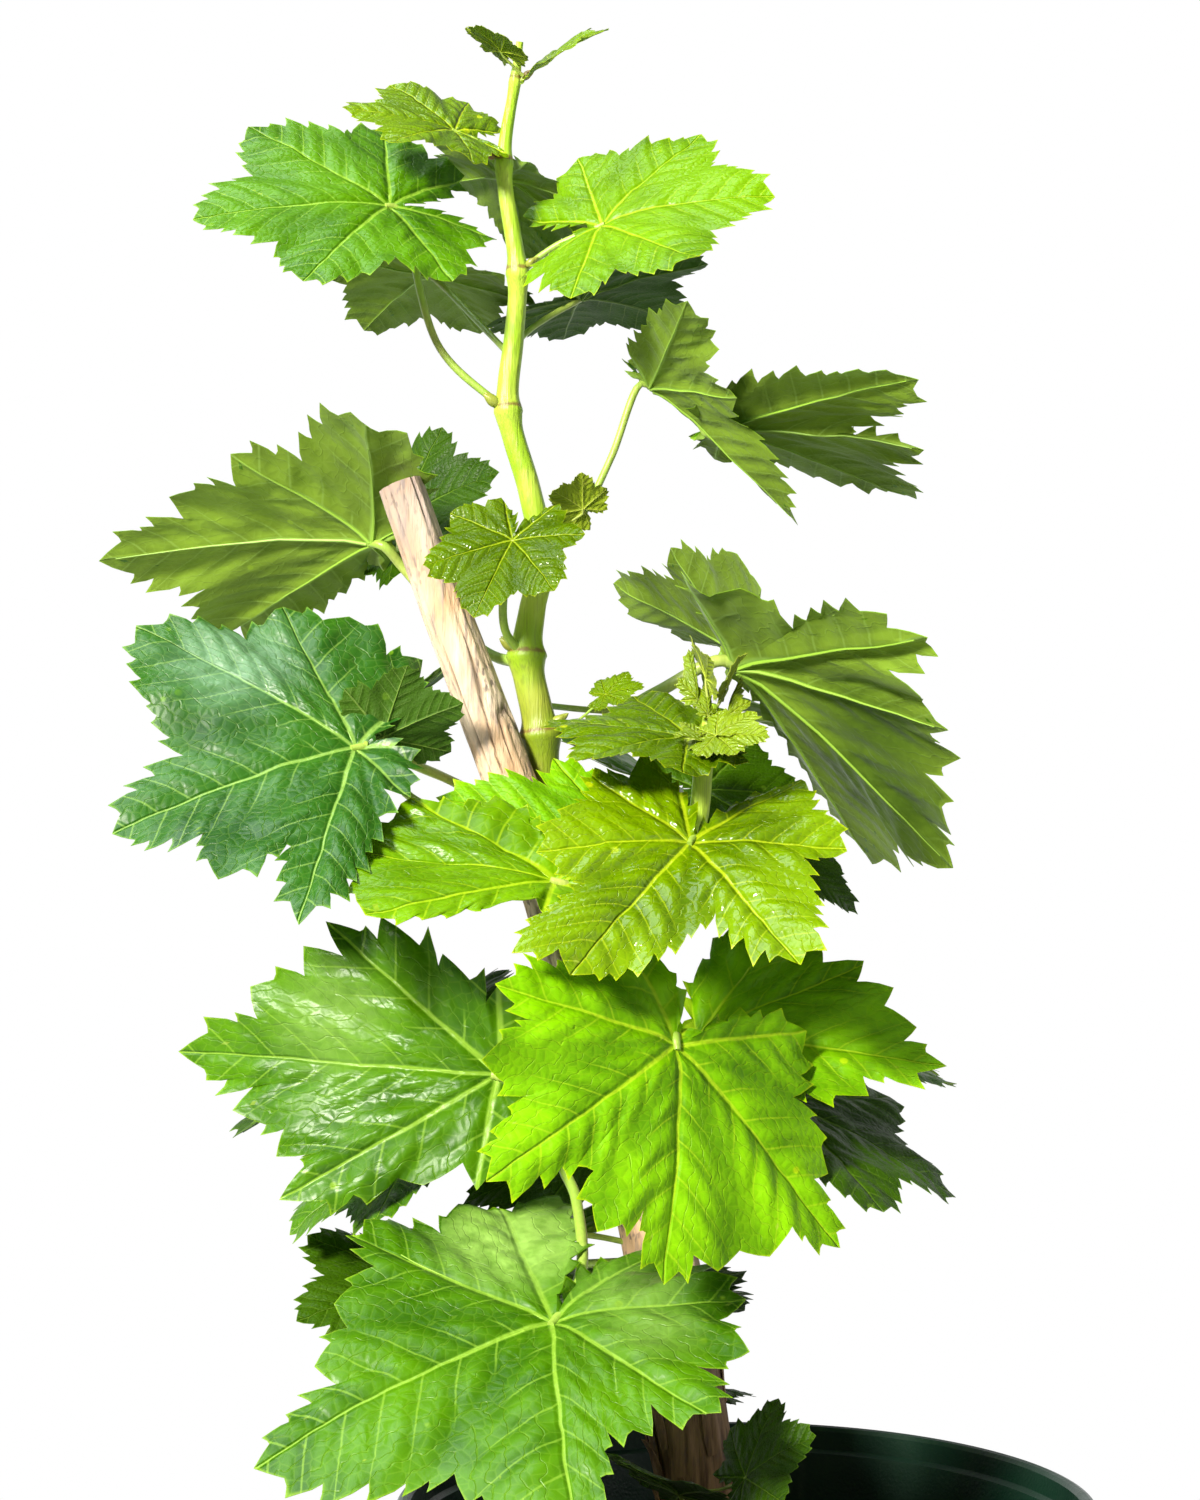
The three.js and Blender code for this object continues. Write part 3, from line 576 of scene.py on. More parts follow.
def on_blade(plan, points, rise):
    """Flat points of a blade, with heights over it in mm, bent and set in their place."""
    length = plan["length"]
    curl, fold_left, fold_right, droop = plan["bend"]
    heading, lift, roll = (turn(angle) for angle in plan["aim"])
    along = np.array([
        math.sin(heading) * math.cos(lift), -math.cos(heading) * math.cos(lift), math.sin(lift),
    ])
    level = np.array([
        -math.sin(lift) * math.sin(heading), math.sin(lift) * math.cos(heading), math.cos(lift),
    ])
    up = level * math.cos(roll) + np.cross(along, level) * math.sin(roll)
    side = np.cross(up, along)
    u, v = (np.asarray(points) * length).T
    fold = np.radians(np.where(v > 0, fold_right, fold_left))
    soft = SOFT * length
    away = np.hypot(v, soft) - soft
    rise = rise + away * np.sin(fold) - droop * v * v / length
    rate, half = turn(curl) / length, turn(curl) / 2
    x = np.sin(rate * u) / rate + rise * np.sin(rate * u)
    z = (np.cos(rate * u) - 1) / rate + rise * np.cos(rate * u)
    place = np.column_stack([
        x * math.cos(half) - z * math.sin(half), v * np.cos(fold), x * math.sin(half) + z * math.cos(half),
    ])
    return np.array(plan["junction"], float) + place @ np.array([along, side, up])


def strip(outer, inner):
    """Faces between two rings, the outer with as many points as the inner or twice as many."""
    n = len(inner)
    faces = []
    for i in range(n):
        a, b = inner[i], inner[(i + 1) % n]
        if len(outer) == n:
            faces.append((outer[i], outer[(i + 1) % n], b, a))
        else:
            c, d, e = outer[2 * i], outer[2 * i + 1], outer[(2 * i + 2) % len(outer)]
            faces += [(c, d, a), (d, b, a), (d, e, b)]
    return faces


class Shape:
    """Points and faces that are gathered up and then made one mesh."""

    def __init__(self):
        self.points, self.faces, self.slots, self.maps, self.marks = [], [], [], [], []
        self.count = 0

    def add(self, points, faces, slot=0, uv=None, mark=None):
        points = np.asarray(points, float)
        self.points.append(points)
        self.faces += [tuple(i + self.count for i in face) for face in faces]
        self.slots += [slot] * len(faces)
        self.maps.append(np.zeros((len(points), 2)) if uv is None else uv)
        self.marks.append(np.zeros(len(points)) if mark is None else mark)
        self.count += len(points)

    def build(self, name, materials, sharp=50):
        mesh = bpy.data.meshes.new(name)
        mesh.from_pydata((np.concatenate(self.points) * MM).tolist(), [], self.faces)
        for material in materials:
            mesh.materials.append(material)
        mesh.polygons.foreach_set("material_index", self.slots)
        mesh.polygons.foreach_set("use_smooth", [True] * len(mesh.polygons))
        loops = np.empty(len(mesh.loops), int)
        mesh.loops.foreach_get("vertex_index", loops)
        layer = mesh.uv_layers.new(name="UVMap")
        layer.data.foreach_set("uv", np.concatenate(self.maps)[loops].ravel())
        mark = mesh.attributes.new("mark", "FLOAT", "POINT")
        mark.data.foreach_set("value", np.concatenate(self.marks))
        mesh.set_sharp_from_angle(angle=turn(sharp))
        mesh.validate()
        piece = bpy.data.objects.new(name, mesh)
        bpy.context.scene.collection.objects.link(piece)
        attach(piece, BODY)
        return piece


def skin_of(line, sides):
    """A round skin about a line: angles, ways out, numbers of its points, faces and UV map."""
    side, top = across(line)
    angles = 2 * math.pi * np.arange(sides) / sides
    cos, sin = np.cos(angles)[None, :, None], np.sin(angles)[None, :, None]
    ways = cos * side[:, None, :] + sin * top[:, None, :]
    ids = np.arange(len(line) * sides).reshape(len(line), sides)
    faces = [(low[i], low[(i + 1) % sides], high[(i + 1) % sides], high[i])
             for low, high in zip(ids, ids[1:]) for i in range(sides)]
    shares = np.linspace(0, 1, len(line))
    uv = np.column_stack([np.repeat(shares, sides), np.tile(np.arange(sides) / sides, len(line))])
    return angles, ways, ids, faces, uv


def add_tube(shape, line, radii, sides=8, slot=0, marks=None):
    """A closed round tube along a line of points."""
    _, ways, ids, faces, uv = skin_of(line, sides)
    points = (line[:, None, :] + ways * radii[:, None, None]).reshape(-1, 3)
    first, last = len(points), len(points) + 1
    faces += [(ids[0][(i + 1) % sides], ids[0][i], first) for i in range(sides)]
    faces += [(ids[-1][i], ids[-1][(i + 1) % sides], last) for i in range(sides)]
    uv = np.vstack([uv, [0, 0.5], [1, 0.5]])
    mark = np.zeros(len(points)) if marks is None else np.repeat(marks, sides)
    mark = np.append(mark, [mark[0], mark[-1]])
    shape.add(np.vstack([points, line[0], line[-1]]), faces, slot, uv, mark)


def bloom_of(plan, spots):
    """How strongly the patches of painted sheen and painted shade lie on the blade at flat points."""
    bloom = np.zeros(len(spots))
    for angle, reach, radius, strength in plan.get("blooms", ()):
        away = np.linalg.norm(spots - flat(angle, reach), axis=1)
        bloom = np.maximum(bloom, strength * smooth_step(away, 1.5 * radius, 0.3 * radius))
    return bloom


def size_of(length, front):
    """A blade's size, which says how finely it is made."""
    if length >= LARGE:
        return "front" if front else "large"
    return "middle" if length >= MIDDLE else "small"


def add_blade(shape, plan, look, seed, settings, front, slot):
    """One blade as a thin closed shell: the upper face in the slot, the underside in the next."""
    dice = np.random.default_rng(seed)
    length = plan["length"]
    size = size_of(length, front)
    rim = rim_of(plan, dice, settings)
    pairs = vein_angles(plan["lobes"], plan.get("veins"))
    rings = [*RIM_RINGS, *np.linspace(0.87, 0.07, RINGS[size] - len(RIM_RINGS))]
    tooth_shares = [*RIM_TEETH, *[0] * (len(rings) - len(RIM_TEETH))]
    spots, shares, marks, ids = [], [], [], []
    count = 0
    for ring, tooth in zip(rings, tooth_shares):
        step = 1 if ring > FINE[size] else 2 if ring > COARSE else 4
        row = rim[::step]
        spots.append(ring * (row[:, :2] + (row[:, 2:4] - row[:, :2]) * tooth))
        shares.append(np.full(len(row), ring))
        # The mark is the pale rim on the outer ring, and inside it the patches of painted sheen and painted
        # shade, as negative values.
        marks.append((0.7 + 0.3 * row[:, 4]) * (ring == 1) - (bloom_of(plan, spots[-1]) if ring < 1 else 0))
        ids.append(np.arange(count, count + len(row)))
        count += len(row)
    spots = np.vstack([*spots, [0, 0]])
    shares = np.append(np.concatenate(shares), 0)
    marks = np.append(np.concatenate(marks), 0)
    reach, angle = on_map(spots, pairs)
    height = relief(reach, angle, shares, plan, look, seed) * length
    thick = max(0.25, settings.blade_thickness * length / 100) * (1 - 0.5 * shares**4) / 2
    top = on_blade(plan, spots, height + thick)
    under = on_blade(plan, spots, height - thick)
    faces = [face for outer, inner in zip(ids, ids[1:]) for face in strip(outer, inner)]
    last = ids[-1]
    faces += [(last[i], last[(i + 1) % len(last)], count) for i in range(len(last))]
    below = [tuple(i + count + 1 for i in reversed(face)) for face in faces]
    edge = ids[0]
    wall = [(a, a + count + 1, b + count + 1, b) for a, b in zip(edge, np.roll(edge, -1))]
    turned = np.radians(angle)
    uv = 0.5 + UV_SHARE * np.column_stack([reach * np.cos(turned), reach * np.sin(turned)])
    start = len(shape.faces)
    both = np.vstack([top, under])
    shape.add(both, faces + below + wall, slot, np.vstack([uv, uv]), np.append(marks, marks))
    shape.slots[start + len(faces):start + len(faces) + len(below)] = [slot + 1] * len(below)
    add_ribs(shape, plan, look, pairs, thick.max(), seed, slot + 2)


def add_ribs(shape, plan, look, pairs, thick, seed, slot):
    """The main veins stand out of the underside as tapered ribs."""
    length = plan["length"]
    corners = np.array(corners_of(plan))
    for own, step in pairs:
        if abs(step) > VEIN_STEP * 3:
            continue
        lobe = min(plan["lobes"], key=lambda lobe: abs(lobe[0] - own))
        reach = lobe[1] if abs(lobe[0] - own) < 3 else np.interp(own, *corners.T) * 0.85
        shares = np.linspace(0.02, 0.94, 12)
        spots = np.array([flat(own, reach * share) for share in shares])
        far, angle = on_map(spots, pairs)
        height = relief(far, angle, shares, plan, look, seed) * length
        girth = 0.0072 * length * (1 - 0.82 * shares) * (1 if abs(step) < VEIN_STEP * 2.5 else 0.6)
        line = on_blade(plan, spots, height - thick - 0.25 * girth)
        add_tube(shape, line, girth, sides=6, slot=slot)


def add_stem(shape, start, plan):
    """A petiole from its limb to the underside of its blade, swollen where it leaves the limb."""
    length = plan["length"]
    radius = 0.85 * plan["stem"] if "stem" in plan else max(0.5, 0.0195 * length)
    end = on_blade(plan, [[0.02, 0]], np.array([-1.15 * radius]))[0]
    ahead = on_blade(plan, [[-0.05, 0]], np.array([-1.9 * radius]))[0]
    line = spline([start, *plan["via"], ahead, end])
    line = even(line, max(10, round(length_of(line) / 2.5)))
    run = np.linspace(0, length_of(line), len(line))
    swollen = 0.55 * np.exp(-run / (2.2 * radius))
    girth = radius * (1 + swollen - 0.35 * smooth_step(run, run[-1] - 6, run[-1]))
    girth = girth * (1 + 0.05 * grain(line, 0.12, 3))
    add_tube(shape, line, girth, sides=10, marks=np.linspace(0, 1, len(line)))

# ---- finishes ------------------------------------------------------------------------------------


def tint(red, green, blue):
    """An sRGB colour, given from 0 to 255, as the linear colour that the shaders take."""
    return tuple(c / 12.92 if c <= 0.04045 else ((c + 0.055) / 1.055) ** 2.4
                 for c in (red / 255, green / 255, blue / 255))


class Finish:
    """A material whose nodes are added by short calls. A socket is given a value or a link."""

    def __init__(self, name):
        self.material = bpy.data.materials.new(name)
        self.material.use_nodes = True
        self.tree = self.material.node_tree
        self.tree.nodes.clear()

    def add(self, kind, inputs=(), **settings):
        node = self.tree.nodes.new("ShaderNode" + kind)
        for name, value in settings.items():
            setattr(node, name, value)
        for key, value in dict(inputs).items():
            self.put(node.inputs[key], value)
        return node

    def put(self, socket, value):
        if isinstance(value, bpy.types.NodeSocket):
            self.tree.links.new(value, socket)
        elif isinstance(value, tuple) and len(value) == 3 and socket.type == "RGBA":
            socket.default_value = (*value, 1)
        else:
            socket.default_value = value

    def math(self, operation, *values):
        return self.add("Math", enumerate(values), operation=operation).outputs[0]

    def times(self, a, b):
        return self.math("MULTIPLY", a, b)

    def plus(self, a, b):
        return self.math("ADD", a, b)

    def minus(self, a, b):
        return self.math("SUBTRACT", a, b)

    def fade(self, value, low, high, start=0.0, end=1.0):
        """From start to end as value goes from low to high, softly."""
        inputs = {"Value": value, "From Min": low, "From Max": high, "To Min": start, "To Max": end}
        return self.add("MapRange", inputs, interpolation_type="SMOOTHSTEP").outputs[0]

    def mix(self, share, a, b, blend="MIX"):
        node = self.add("Mix", data_type="RGBA", blend_type=blend)
        for key, value in ((0, share), (6, a), (7, b)):
            self.put(node.inputs[key], value)
        return node.outputs[2]

    def place(self, scale=(1, 1, 1)):
        """Object coordinates, in metres times scale."""
        object_place = self.add("TexCoord").outputs["Object"]
        return self.add("Mapping", {"Vector": object_place, "Scale": scale}).outputs[0]

    def noise(self, vector, scale, detail=3.0, roughness=0.5):
        inputs = {"Vector": vector, "Scale": scale, "Detail": detail, "Roughness": roughness}
        return self.add("TexNoise", inputs).outputs["Fac"]

    def bump(self, height, distance, strength=1.0):
        inputs = {"Height": height, "Distance": distance, "Strength": strength}
        return self.add("Bump", inputs).outputs[0]

    def skin(self, colour, roughness, normal=None, **sockets):
        inputs = {"Base Color": colour, "Roughness": roughness, **sockets}
        if normal is not None:
            inputs["Normal"] = normal
        return self.add("BsdfPrincipled", inputs).outputs[0]

    def done(self, shader):
        output = self.add("OutputMaterial")
        self.tree.links.new(shader, output.inputs["Surface"])
        return self.material


def leaf_look(deep, clear, vein, under, through, edge, gloss, specular, quilt=0.008, ruffle=1.0, **more):
    """A leaf's colours from 0 to 255, its gloss, and how much its fields dome and its rim waves."""
    colours = {"deep": deep, "clear": clear, "vein": vein, "under": under, "through": through,
               "edge": edge, **more}
    numbers = {"gloss": gloss, "specular": specular, "quilt": quilt, "ruffle": ruffle}
    return {**{name: tint(*colour) for name, colour in colours.items()}, **numbers}


MID = ((46, 92, 0), (82, 134, 0), (150, 192, 60), (134, 166, 48), (140, 196, 0), (160, 198, 40), 0.36, 0.28)
# Some looks carry a colour for painted sheen, laid on the upper face in patches; the shaded look is the mid
# one with a colour for painted shade, laid on the underside in patches.
LOOKS = {
    "mid": leaf_look(*MID, bloom=(160, 202, 96)),
    "shaded": leaf_look(*MID, dull=(66, 96, 16)),
    "tender": leaf_look(
        (104, 132, 0), (150, 176, 16), (196, 210, 70), (150, 172, 30), (190, 220, 20), (216, 222, 90),
        0.24, 0.5, 0.014, 1.6),
    "young": leaf_look(
        (76, 108, 0), (118, 154, 0), (184, 204, 30), (120, 148, 10), (170, 210, 0), (206, 220, 20),
        0.17, 0.34, 0.012, 1.3),
    "olive": leaf_look(
        (60, 88, 0), (94, 126, 0), (166, 186, 30), (110, 138, 10), (160, 200, 0), (196, 206, 20),
        0.2, 0.26, 0.012, 1.3),
    "fresh": leaf_look(
        (76, 118, 0), (112, 160, 0), (176, 206, 30), (140, 176, 20), (160, 214, 0), (200, 220, 20),
        0.3, 0.22),
    "bright": leaf_look(
        (84, 138, 0), (134, 198, 0), (184, 218, 36), (150, 190, 30), (160, 224, 0), (204, 226, 20),
        0.46, 0.16),
    "blue": leaf_look(
        (22, 70, 4), (46, 100, 12), (146, 186, 80), (112, 150, 60), (90, 160, 6), (130, 180, 30),
        0.38, 0.4, bloom=(136, 178, 138)),
    "dark": leaf_look(
        (34, 66, 0), (58, 94, 0), (110, 146, 40), (66, 106, 16), (84, 140, 0), (120, 160, 40),
        0.42, 0.18, 0.009),
}


def vein_masks(finish, width):
    """Main veins, side veins and the fine net, each 1 on the vein and 0 off it, from the UV map."""
    uv = finish.add("UVMap", uv_map="UVMap").outputs[0]
    flat_map = finish.add("Mapping", {
        "Vector": uv, "Location": (-0.5 / UV_SHARE, -0.5 / UV_SHARE, 0),
        "Scale": (1 / UV_SHARE, 1 / UV_SHARE, 1),
    }).outputs[0]
    sway = finish.add("TexNoise", {"Vector": flat_map, "Scale": 4.0, "Detail": 2.0}).outputs["Color"]
    swayed = finish.add("VectorMath", {0: sway, 1: (-0.5, -0.5, -0.5)}, operation="ADD").outputs[0]
    swayed = finish.add("VectorMath", {0: swayed, 1: (0.035, 0.035, 0)}, operation="MULTIPLY").outputs[0]
    swayed = finish.add("VectorMath", {0: flat_map, 1: swayed}, operation="ADD").outputs[0]
    parts = finish.add("SeparateXYZ", {"Vector": swayed}).outputs
    reach = finish.add("VectorMath", {0: flat_map}, operation="LENGTH").outputs["Value"]
    angle = finish.math("DEGREES", finish.math("ARCTAN2", parts[1], parts[0]))
    size = finish.math("ABSOLUTE", angle)
    off = finish.math("RADIANS", finish.math("PINGPONG", size, VEIN_STEP / 2))
    main = finish.times(reach, finish.math("SINE", off))
    along = finish.times(reach, finish.math("COSINE", off))
    parity = finish.math("MODULO", finish.math("FLOOR", finish.math("DIVIDE", size, VEIN_STEP / 2)), 2.0)
    half = finish.math("GREATER_THAN", angle, 0.0)
    line = finish.minus(along, finish.times(main, 0.7))
    line = finish.minus(line, finish.times(finish.times(main, main), 0.6))
    line = finish.plus(line, finish.times(parity, SIDE_VEINS / 2))
    line = finish.plus(line, finish.times(half, SIDE_VEINS / 4))
    side = finish.times(finish.math("PINGPONG", line, SIDE_VEINS / 2), 0.8)
    inner = finish.fade(finish.math("DEGREES", off), 14.0, 25.0, 1.0, 0.0)
    rung = finish.add("TexNoise", {"Vector": flat_map, "Scale": 16.0, "Detail": 1.0}).outputs["Fac"]
    rung = finish.plus(main, finish.times(rung, 0.07))
    rung = finish.math("PINGPONG", rung, 0.022)
    main_width = finish.fade(reach, 0.0, 0.9, 0.0105 * width, 0.003 * width)
    side_width = finish.fade(main, 0.0, 0.3, 0.0042 * width, 0.0018 * width)
    thin = finish.math("DIVIDE", main, main_width)
    side_thin = finish.math("DIVIDE", side, side_width)
    net = finish.add("TexVoronoi", {"Vector": flat_map, "Scale": 25.0}, feature="DISTANCE_TO_EDGE",
                     voronoi_dimensions="2D").outputs["Distance"]
    side_line = finish.times(finish.fade(side_thin, 0.35, 1.3, 1.0, 0.0), inner)
    dome = finish.times(finish.fade(side, 0.004, SIDE_VEINS * 0.36), inner)
    rungs = finish.times(finish.fade(rung, 0.0, 0.003, 1.0, 0.0), finish.fade(main, 0.02, 0.06))
    return {
        "main": finish.fade(thin, 0.35, 1.25, 1.0, 0.0), "main_wide": finish.fade(thin, 0.3, 3.2, 1.0, 0.0),
        "side": side_line, "dome": dome, "rungs": rungs,
        "net": finish.fade(net, 0.0, 0.09, 1.0, 0.0), "blister": finish.fade(net, 0.0, 0.35),
    }


def leaf_face(name, look, upper):
    """The upper face is glossy with sunken veins, the underside matt and paler with raised ones."""
    finish = Finish(f"leaf_{name}_{'upper' if upper else 'under'}")
    veins = vein_masks(finish, 1.0 if upper else 1.2)
    place = finish.place()
    cloud = finish.fade(finish.noise(place, 24.0, 4.0, 0.6), 0.36, 0.66)
    fine = finish.noise(place, 330.0, 3.0, 0.6)
    deep, clear = (look["deep"], look["clear"]) if upper else (
        tuple(0.66 * c for c in look["under"]), look["under"])
    colour = finish.mix(cloud, deep, clear)
    domed = finish.times(veins["dome"], 0.35)
    colour = finish.mix(domed, colour, tuple(1.18 * c for c in clear))
    vein = look["vein"]
    if not upper:
        vein = tuple(0.75 * a + 0.25 * b for a, b in zip(vein, (0.4, 0.5, 0.22)))
    for part, share in (("net", 0.12), ("rungs", 0.16), ("side", 0.42), ("main", 0.8)):
        share = share if upper else 1.25 * share
        colour = finish.mix(finish.times(veins[part], share), colour, vein)
    mark = finish.add("Attribute", attribute_name="mark").outputs["Fac"]
    # Painted shade: the underside is darkened in its patches, as if shade fell there.
    if not upper and "dull" in look:
        colour = finish.mix(finish.times(mark, -0.85), colour, look["dull"])
    # Painted sheen: a pale, broken-up patch on the upper face that stands in for light shining off it.
    if upper and "bloom" in look:
        patchy = finish.fade(finish.noise(place, 170.0, 3.0), 0.3, 0.6, -0.55, -1.0)
        bloom = finish.times(mark, patchy)
        colour = finish.mix(bloom, colour, look["bloom"])
    edge = finish.fade(mark, 0.35, 0.95)
    colour = finish.mix(finish.times(edge, 0.55), colour, look["edge"])
    colour = finish.mix(finish.fade(fine, 0.35, 0.75, 0.0, 0.2), colour, clear)
    spot = finish.add("TexVoronoi", {"Vector": place, "Scale": 95.0}).outputs["Distance"]
    spot = finish.times(finish.fade(spot, 0.1, 0.16, 1.0, 0.0),
                       finish.fade(finish.noise(place, 21.0), 0.56, 0.64))
    colour = finish.mix(finish.times(spot, 0.6), colour, look["edge"])
    way = -1.0 if upper else 1.0
    height = finish.times(veins["main_wide"], 0.7 * way)
    height = finish.minus(height, finish.times(veins["dome"], 0.5 * way))
    height = finish.minus(height, finish.times(veins["blister"], 0.12 * way))
    height = finish.plus(height, finish.times(veins["rungs"], 0.22 * way))
    height = finish.plus(height, finish.times(fine, 0.14))
    normal = finish.bump(height, 0.0009 if upper else 0.0006, 0.8)
    gloss = finish.fade(finish.noise(place, 60.0), 0.3, 0.7, look["gloss"] - 0.05, look["gloss"] + 0.07)
    skin = finish.skin(
        colour, gloss if upper else 0.62, normal, **{
            "Specular IOR Level": look["specular"] if upper else 0.2,
            "Sheen Weight": 0.0 if upper else 0.1,
            "Sheen Roughness": 0.4, "Sheen Tint": (0.85, 0.93, 1.0, 1.0),
        })
    through = finish.mix(0.4, colour, look["through"])
    lit = finish.add("BsdfTranslucent", {"Color": through, "Normal": normal})
    share = 0.24 if upper else 0.32
    return finish.done(finish.add("MixShader", {0: share, 1: skin, 2: lit.outputs[0]}).outputs[0])


def rib_finish(name, look):
    finish = Finish(f"leaf_{name}_ribs")
    shade = finish.noise(finish.place(), 90.0)
    colour = finish.mix(shade, tuple(0.8 * c for c in look["vein"]), look["vein"])
    return finish.done(finish.skin(colour, 0.5, finish.bump(shade, 0.0002)))


def stem_finish(name, pale, ripe):
    """Petioles: smooth and pale green, a little ripe where the sun catches them."""
    finish = Finish(name)
    place = finish.place((1, 1, 0.25))
    streaks = finish.noise(place, 900.0, 2.0)
    colour = finish.mix(finish.fade(finish.noise(finish.place(), 22.0), 0.42, 0.66), pale, ripe)
    colour = finish.mix(finish.fade(streaks, 0.35, 0.7, 0.0, 0.3), colour, tuple(0.55 * c for c in pale))
    return finish.done(finish.skin(colour, 0.38, finish.bump(streaks, 0.00015)))


def shoot_finish(name, ripe):
    """Green shoot: pale green above, olive and brownish up to where it is ripe, brown at its scars."""
    finish = Finish(name)
    object_place = finish.place()
    height = finish.add("SeparateXYZ", {"Vector": object_place}).outputs[2]
    age = finish.fade(height, *ripe, 1.0, 0.0)
    streaks = finish.noise(finish.place((1, 1, 0.06)), 1500.0, 3.0)
    patch = finish.noise(object_place, 60.0)
    green = finish.mix(finish.fade(patch, 0.35, 0.7), tint(150, 190, 30), tint(182, 208, 70))
    old = finish.mix(finish.fade(patch, 0.35, 0.65), tint(112, 122, 24), tint(116, 84, 26))
    colour = finish.mix(age, green, old)
    colour = finish.mix(finish.fade(streaks, 0.45, 0.75, 0.0, 0.45), colour, tint(104, 112, 44))
    scar = finish.add("Attribute", attribute_name="mark").outputs["Fac"]
    speckle = finish.noise(object_place, 500.0)
    scar = finish.fade(finish.plus(scar, finish.times(speckle, 0.8)), 0.95, 1.4)
    colour = finish.mix(finish.times(scar, 0.8), colour, tint(120, 84, 46))
    return finish.done(finish.skin(colour, 0.42, finish.bump(streaks, 0.0003)))


def bark_finish():
    """Dry tan bark: long grey and orange streaks, black specks, dark in the cracks, brown at the foot."""
    finish = Finish("old_bark")
    object_place = finish.place()
    height = finish.add("SeparateXYZ", {"Vector": object_place}).outputs[2]
    grained = finish.add("Mapping", {
        "Vector": object_place, "Rotation": (0, turn(17), 0), "Scale": (1, 1, 0.07),
    }).outputs[0]
    fibres = finish.noise(grained, 420.0, 5.0, 0.6)
    bands = finish.noise(grained, 110.0, 3.0)
    patch = finish.noise(object_place, 26.0, 3.0)
    colour = finish.mix(finish.fade(bands, 0.3, 0.7), tint(200, 174, 144), tint(232, 212, 184))
    colour = finish.mix(finish.fade(patch, 0.46, 0.66, 0.0, 0.6), colour, tint(196, 146, 92))
    colour = finish.mix(finish.fade(fibres, 0.48, 0.7, 0.0, 0.75), colour, tint(150, 134, 126))
    crack = finish.add("Attribute", attribute_name="mark").outputs["Fac"]
    colour = finish.mix(finish.times(crack, 0.8), colour, tint(70, 48, 30))
    low = finish.fade(finish.plus(height, finish.times(patch, 0.08)), 0.25, 0.36, 1.0, 0.0)
    brown = finish.mix(finish.fade(fibres, 0.35, 0.65), tint(92, 64, 40), tint(150, 116, 80))
    colour = finish.mix(low, colour, brown)
    dashes = finish.add("Mapping", {
        "Vector": object_place, "Rotation": (0, turn(17), 0), "Scale": (1, 1, 0.4),
    }).outputs[0]
    sparse = finish.fade(finish.noise(object_place, 50.0), 0.4, 0.6)
    specks = finish.times(finish.fade(finish.noise(dashes, 520.0, 2.0), 0.54, 0.64), sparse)
    colour = finish.mix(finish.times(specks, 0.8), colour, tint(96, 84, 78))
    weathered = finish.fade(finish.plus(height, finish.times(fibres, 0.06)), 0.525, 0.585)
    colour = finish.mix(finish.times(weathered, 0.7), colour, tint(150, 136, 132))
    bumps = finish.plus(fibres, finish.times(bands, 0.6))
    return finish.done(finish.skin(colour, 0.78, finish.bump(bumps, 0.0012)))


def cut_finish():
    """The weathered pruning cut: grey-brown wood with a reddish ring."""
    finish = Finish("pruning_cut")
    place = finish.place()
    rough_grain = finish.noise(place, 420.0, 4.0, 0.65)
    colour = finish.mix(rough_grain, tint(112, 92, 84), tint(190, 172, 158))
    ring = finish.fade(finish.noise(place, 190.0), 0.5, 0.7, 0.0, 0.6)
    colour = finish.mix(ring, colour, tint(138, 88, 72))
    return finish.done(finish.skin(colour, 0.85, finish.bump(rough_grain, 0.001)))


def plastic_finish():
    """Moulded plastic: dark green with a soft gloss, faint flow marks, rubs and dust."""
    finish = Finish("pot_plastic")
    place = finish.place()
    grainy = finish.noise(place, 900.0, 2.0)
    cloud = finish.fade(finish.noise(place, 9.0, 3.0), 0.3, 0.75)
    colour = finish.mix(cloud, tint(8, 38, 26), tint(16, 56, 38))
    dust = finish.fade(finish.noise(finish.place((1, 1, 0.3)), 42.0, 5.0, 0.65), 0.58, 0.8, 0.0, 0.22)
    colour = finish.mix(dust, colour, tint(120, 124, 108))
    gloss = finish.fade(finish.noise(place, 34.0, 4.0), 0.3, 0.7, 0.3, 0.46)
    return finish.done(finish.skin(colour, gloss, finish.bump(grainy, 0.00012)))


def soil_finish(name="potting_soil", dark=tint(44, 31, 22), light=tint(96, 72, 50)):
    finish = Finish(name)
    place = finish.place()
    crumbs = finish.noise(place, 240.0, 5.0, 0.65)
    colour = finish.mix(finish.fade(crumbs, 0.35, 0.7), dark, light)
    return finish.done(finish.skin(colour, 0.92, finish.bump(crumbs, 0.003)))


def floor_finish():
    finish = Finish("studio_floor")
    return finish.done(finish.skin((0.86, 0.86, 0.85), 0.6))

# ---- settings ------------------------------------------------------------------------------------


class LeafSettings(bpy.types.PropertyGroup):
    tooth_spacing: bpy.props.FloatProperty(
        name="Tooth spacing", description="Distance between teeth as a share of the blade's length",
        default=0.1, min=0.04, max=0.3)
    tooth_height: bpy.props.FloatProperty(
        name="Tooth height", description="Height of the teeth as a share of the blade's length",
        default=0.05, min=0.0, max=0.15)
    blade_thickness: bpy.props.FloatProperty(
        name="Blade thickness", description="Thickness in millimetres of a blade 100 mm long",
        default=0.4, min=0.1, max=2.0)


class WoodSettings(bpy.types.PropertyGroup):
    fibre_depth: bpy.props.FloatProperty(
        name="Fibre depth", description="Relief of the bark's fibres in millimetres",
        default=0.55, min=0, max=3)
    flakes: bpy.props.IntProperty(
        name="Bark flakes", description="Loose strips of bark round the trunk's foot",
        default=26, min=0, max=200)


class PotSettings(bpy.types.PropertyGroup):
    segments: bpy.props.IntProperty(
        name="Segments", description="Number of sides of the round pot", default=144, min=24, max=512)
    crumbs: bpy.props.IntProperty(
        name="Crumbs", description="Loose crumbs on the potting mix", default=900, min=0, max=4000)


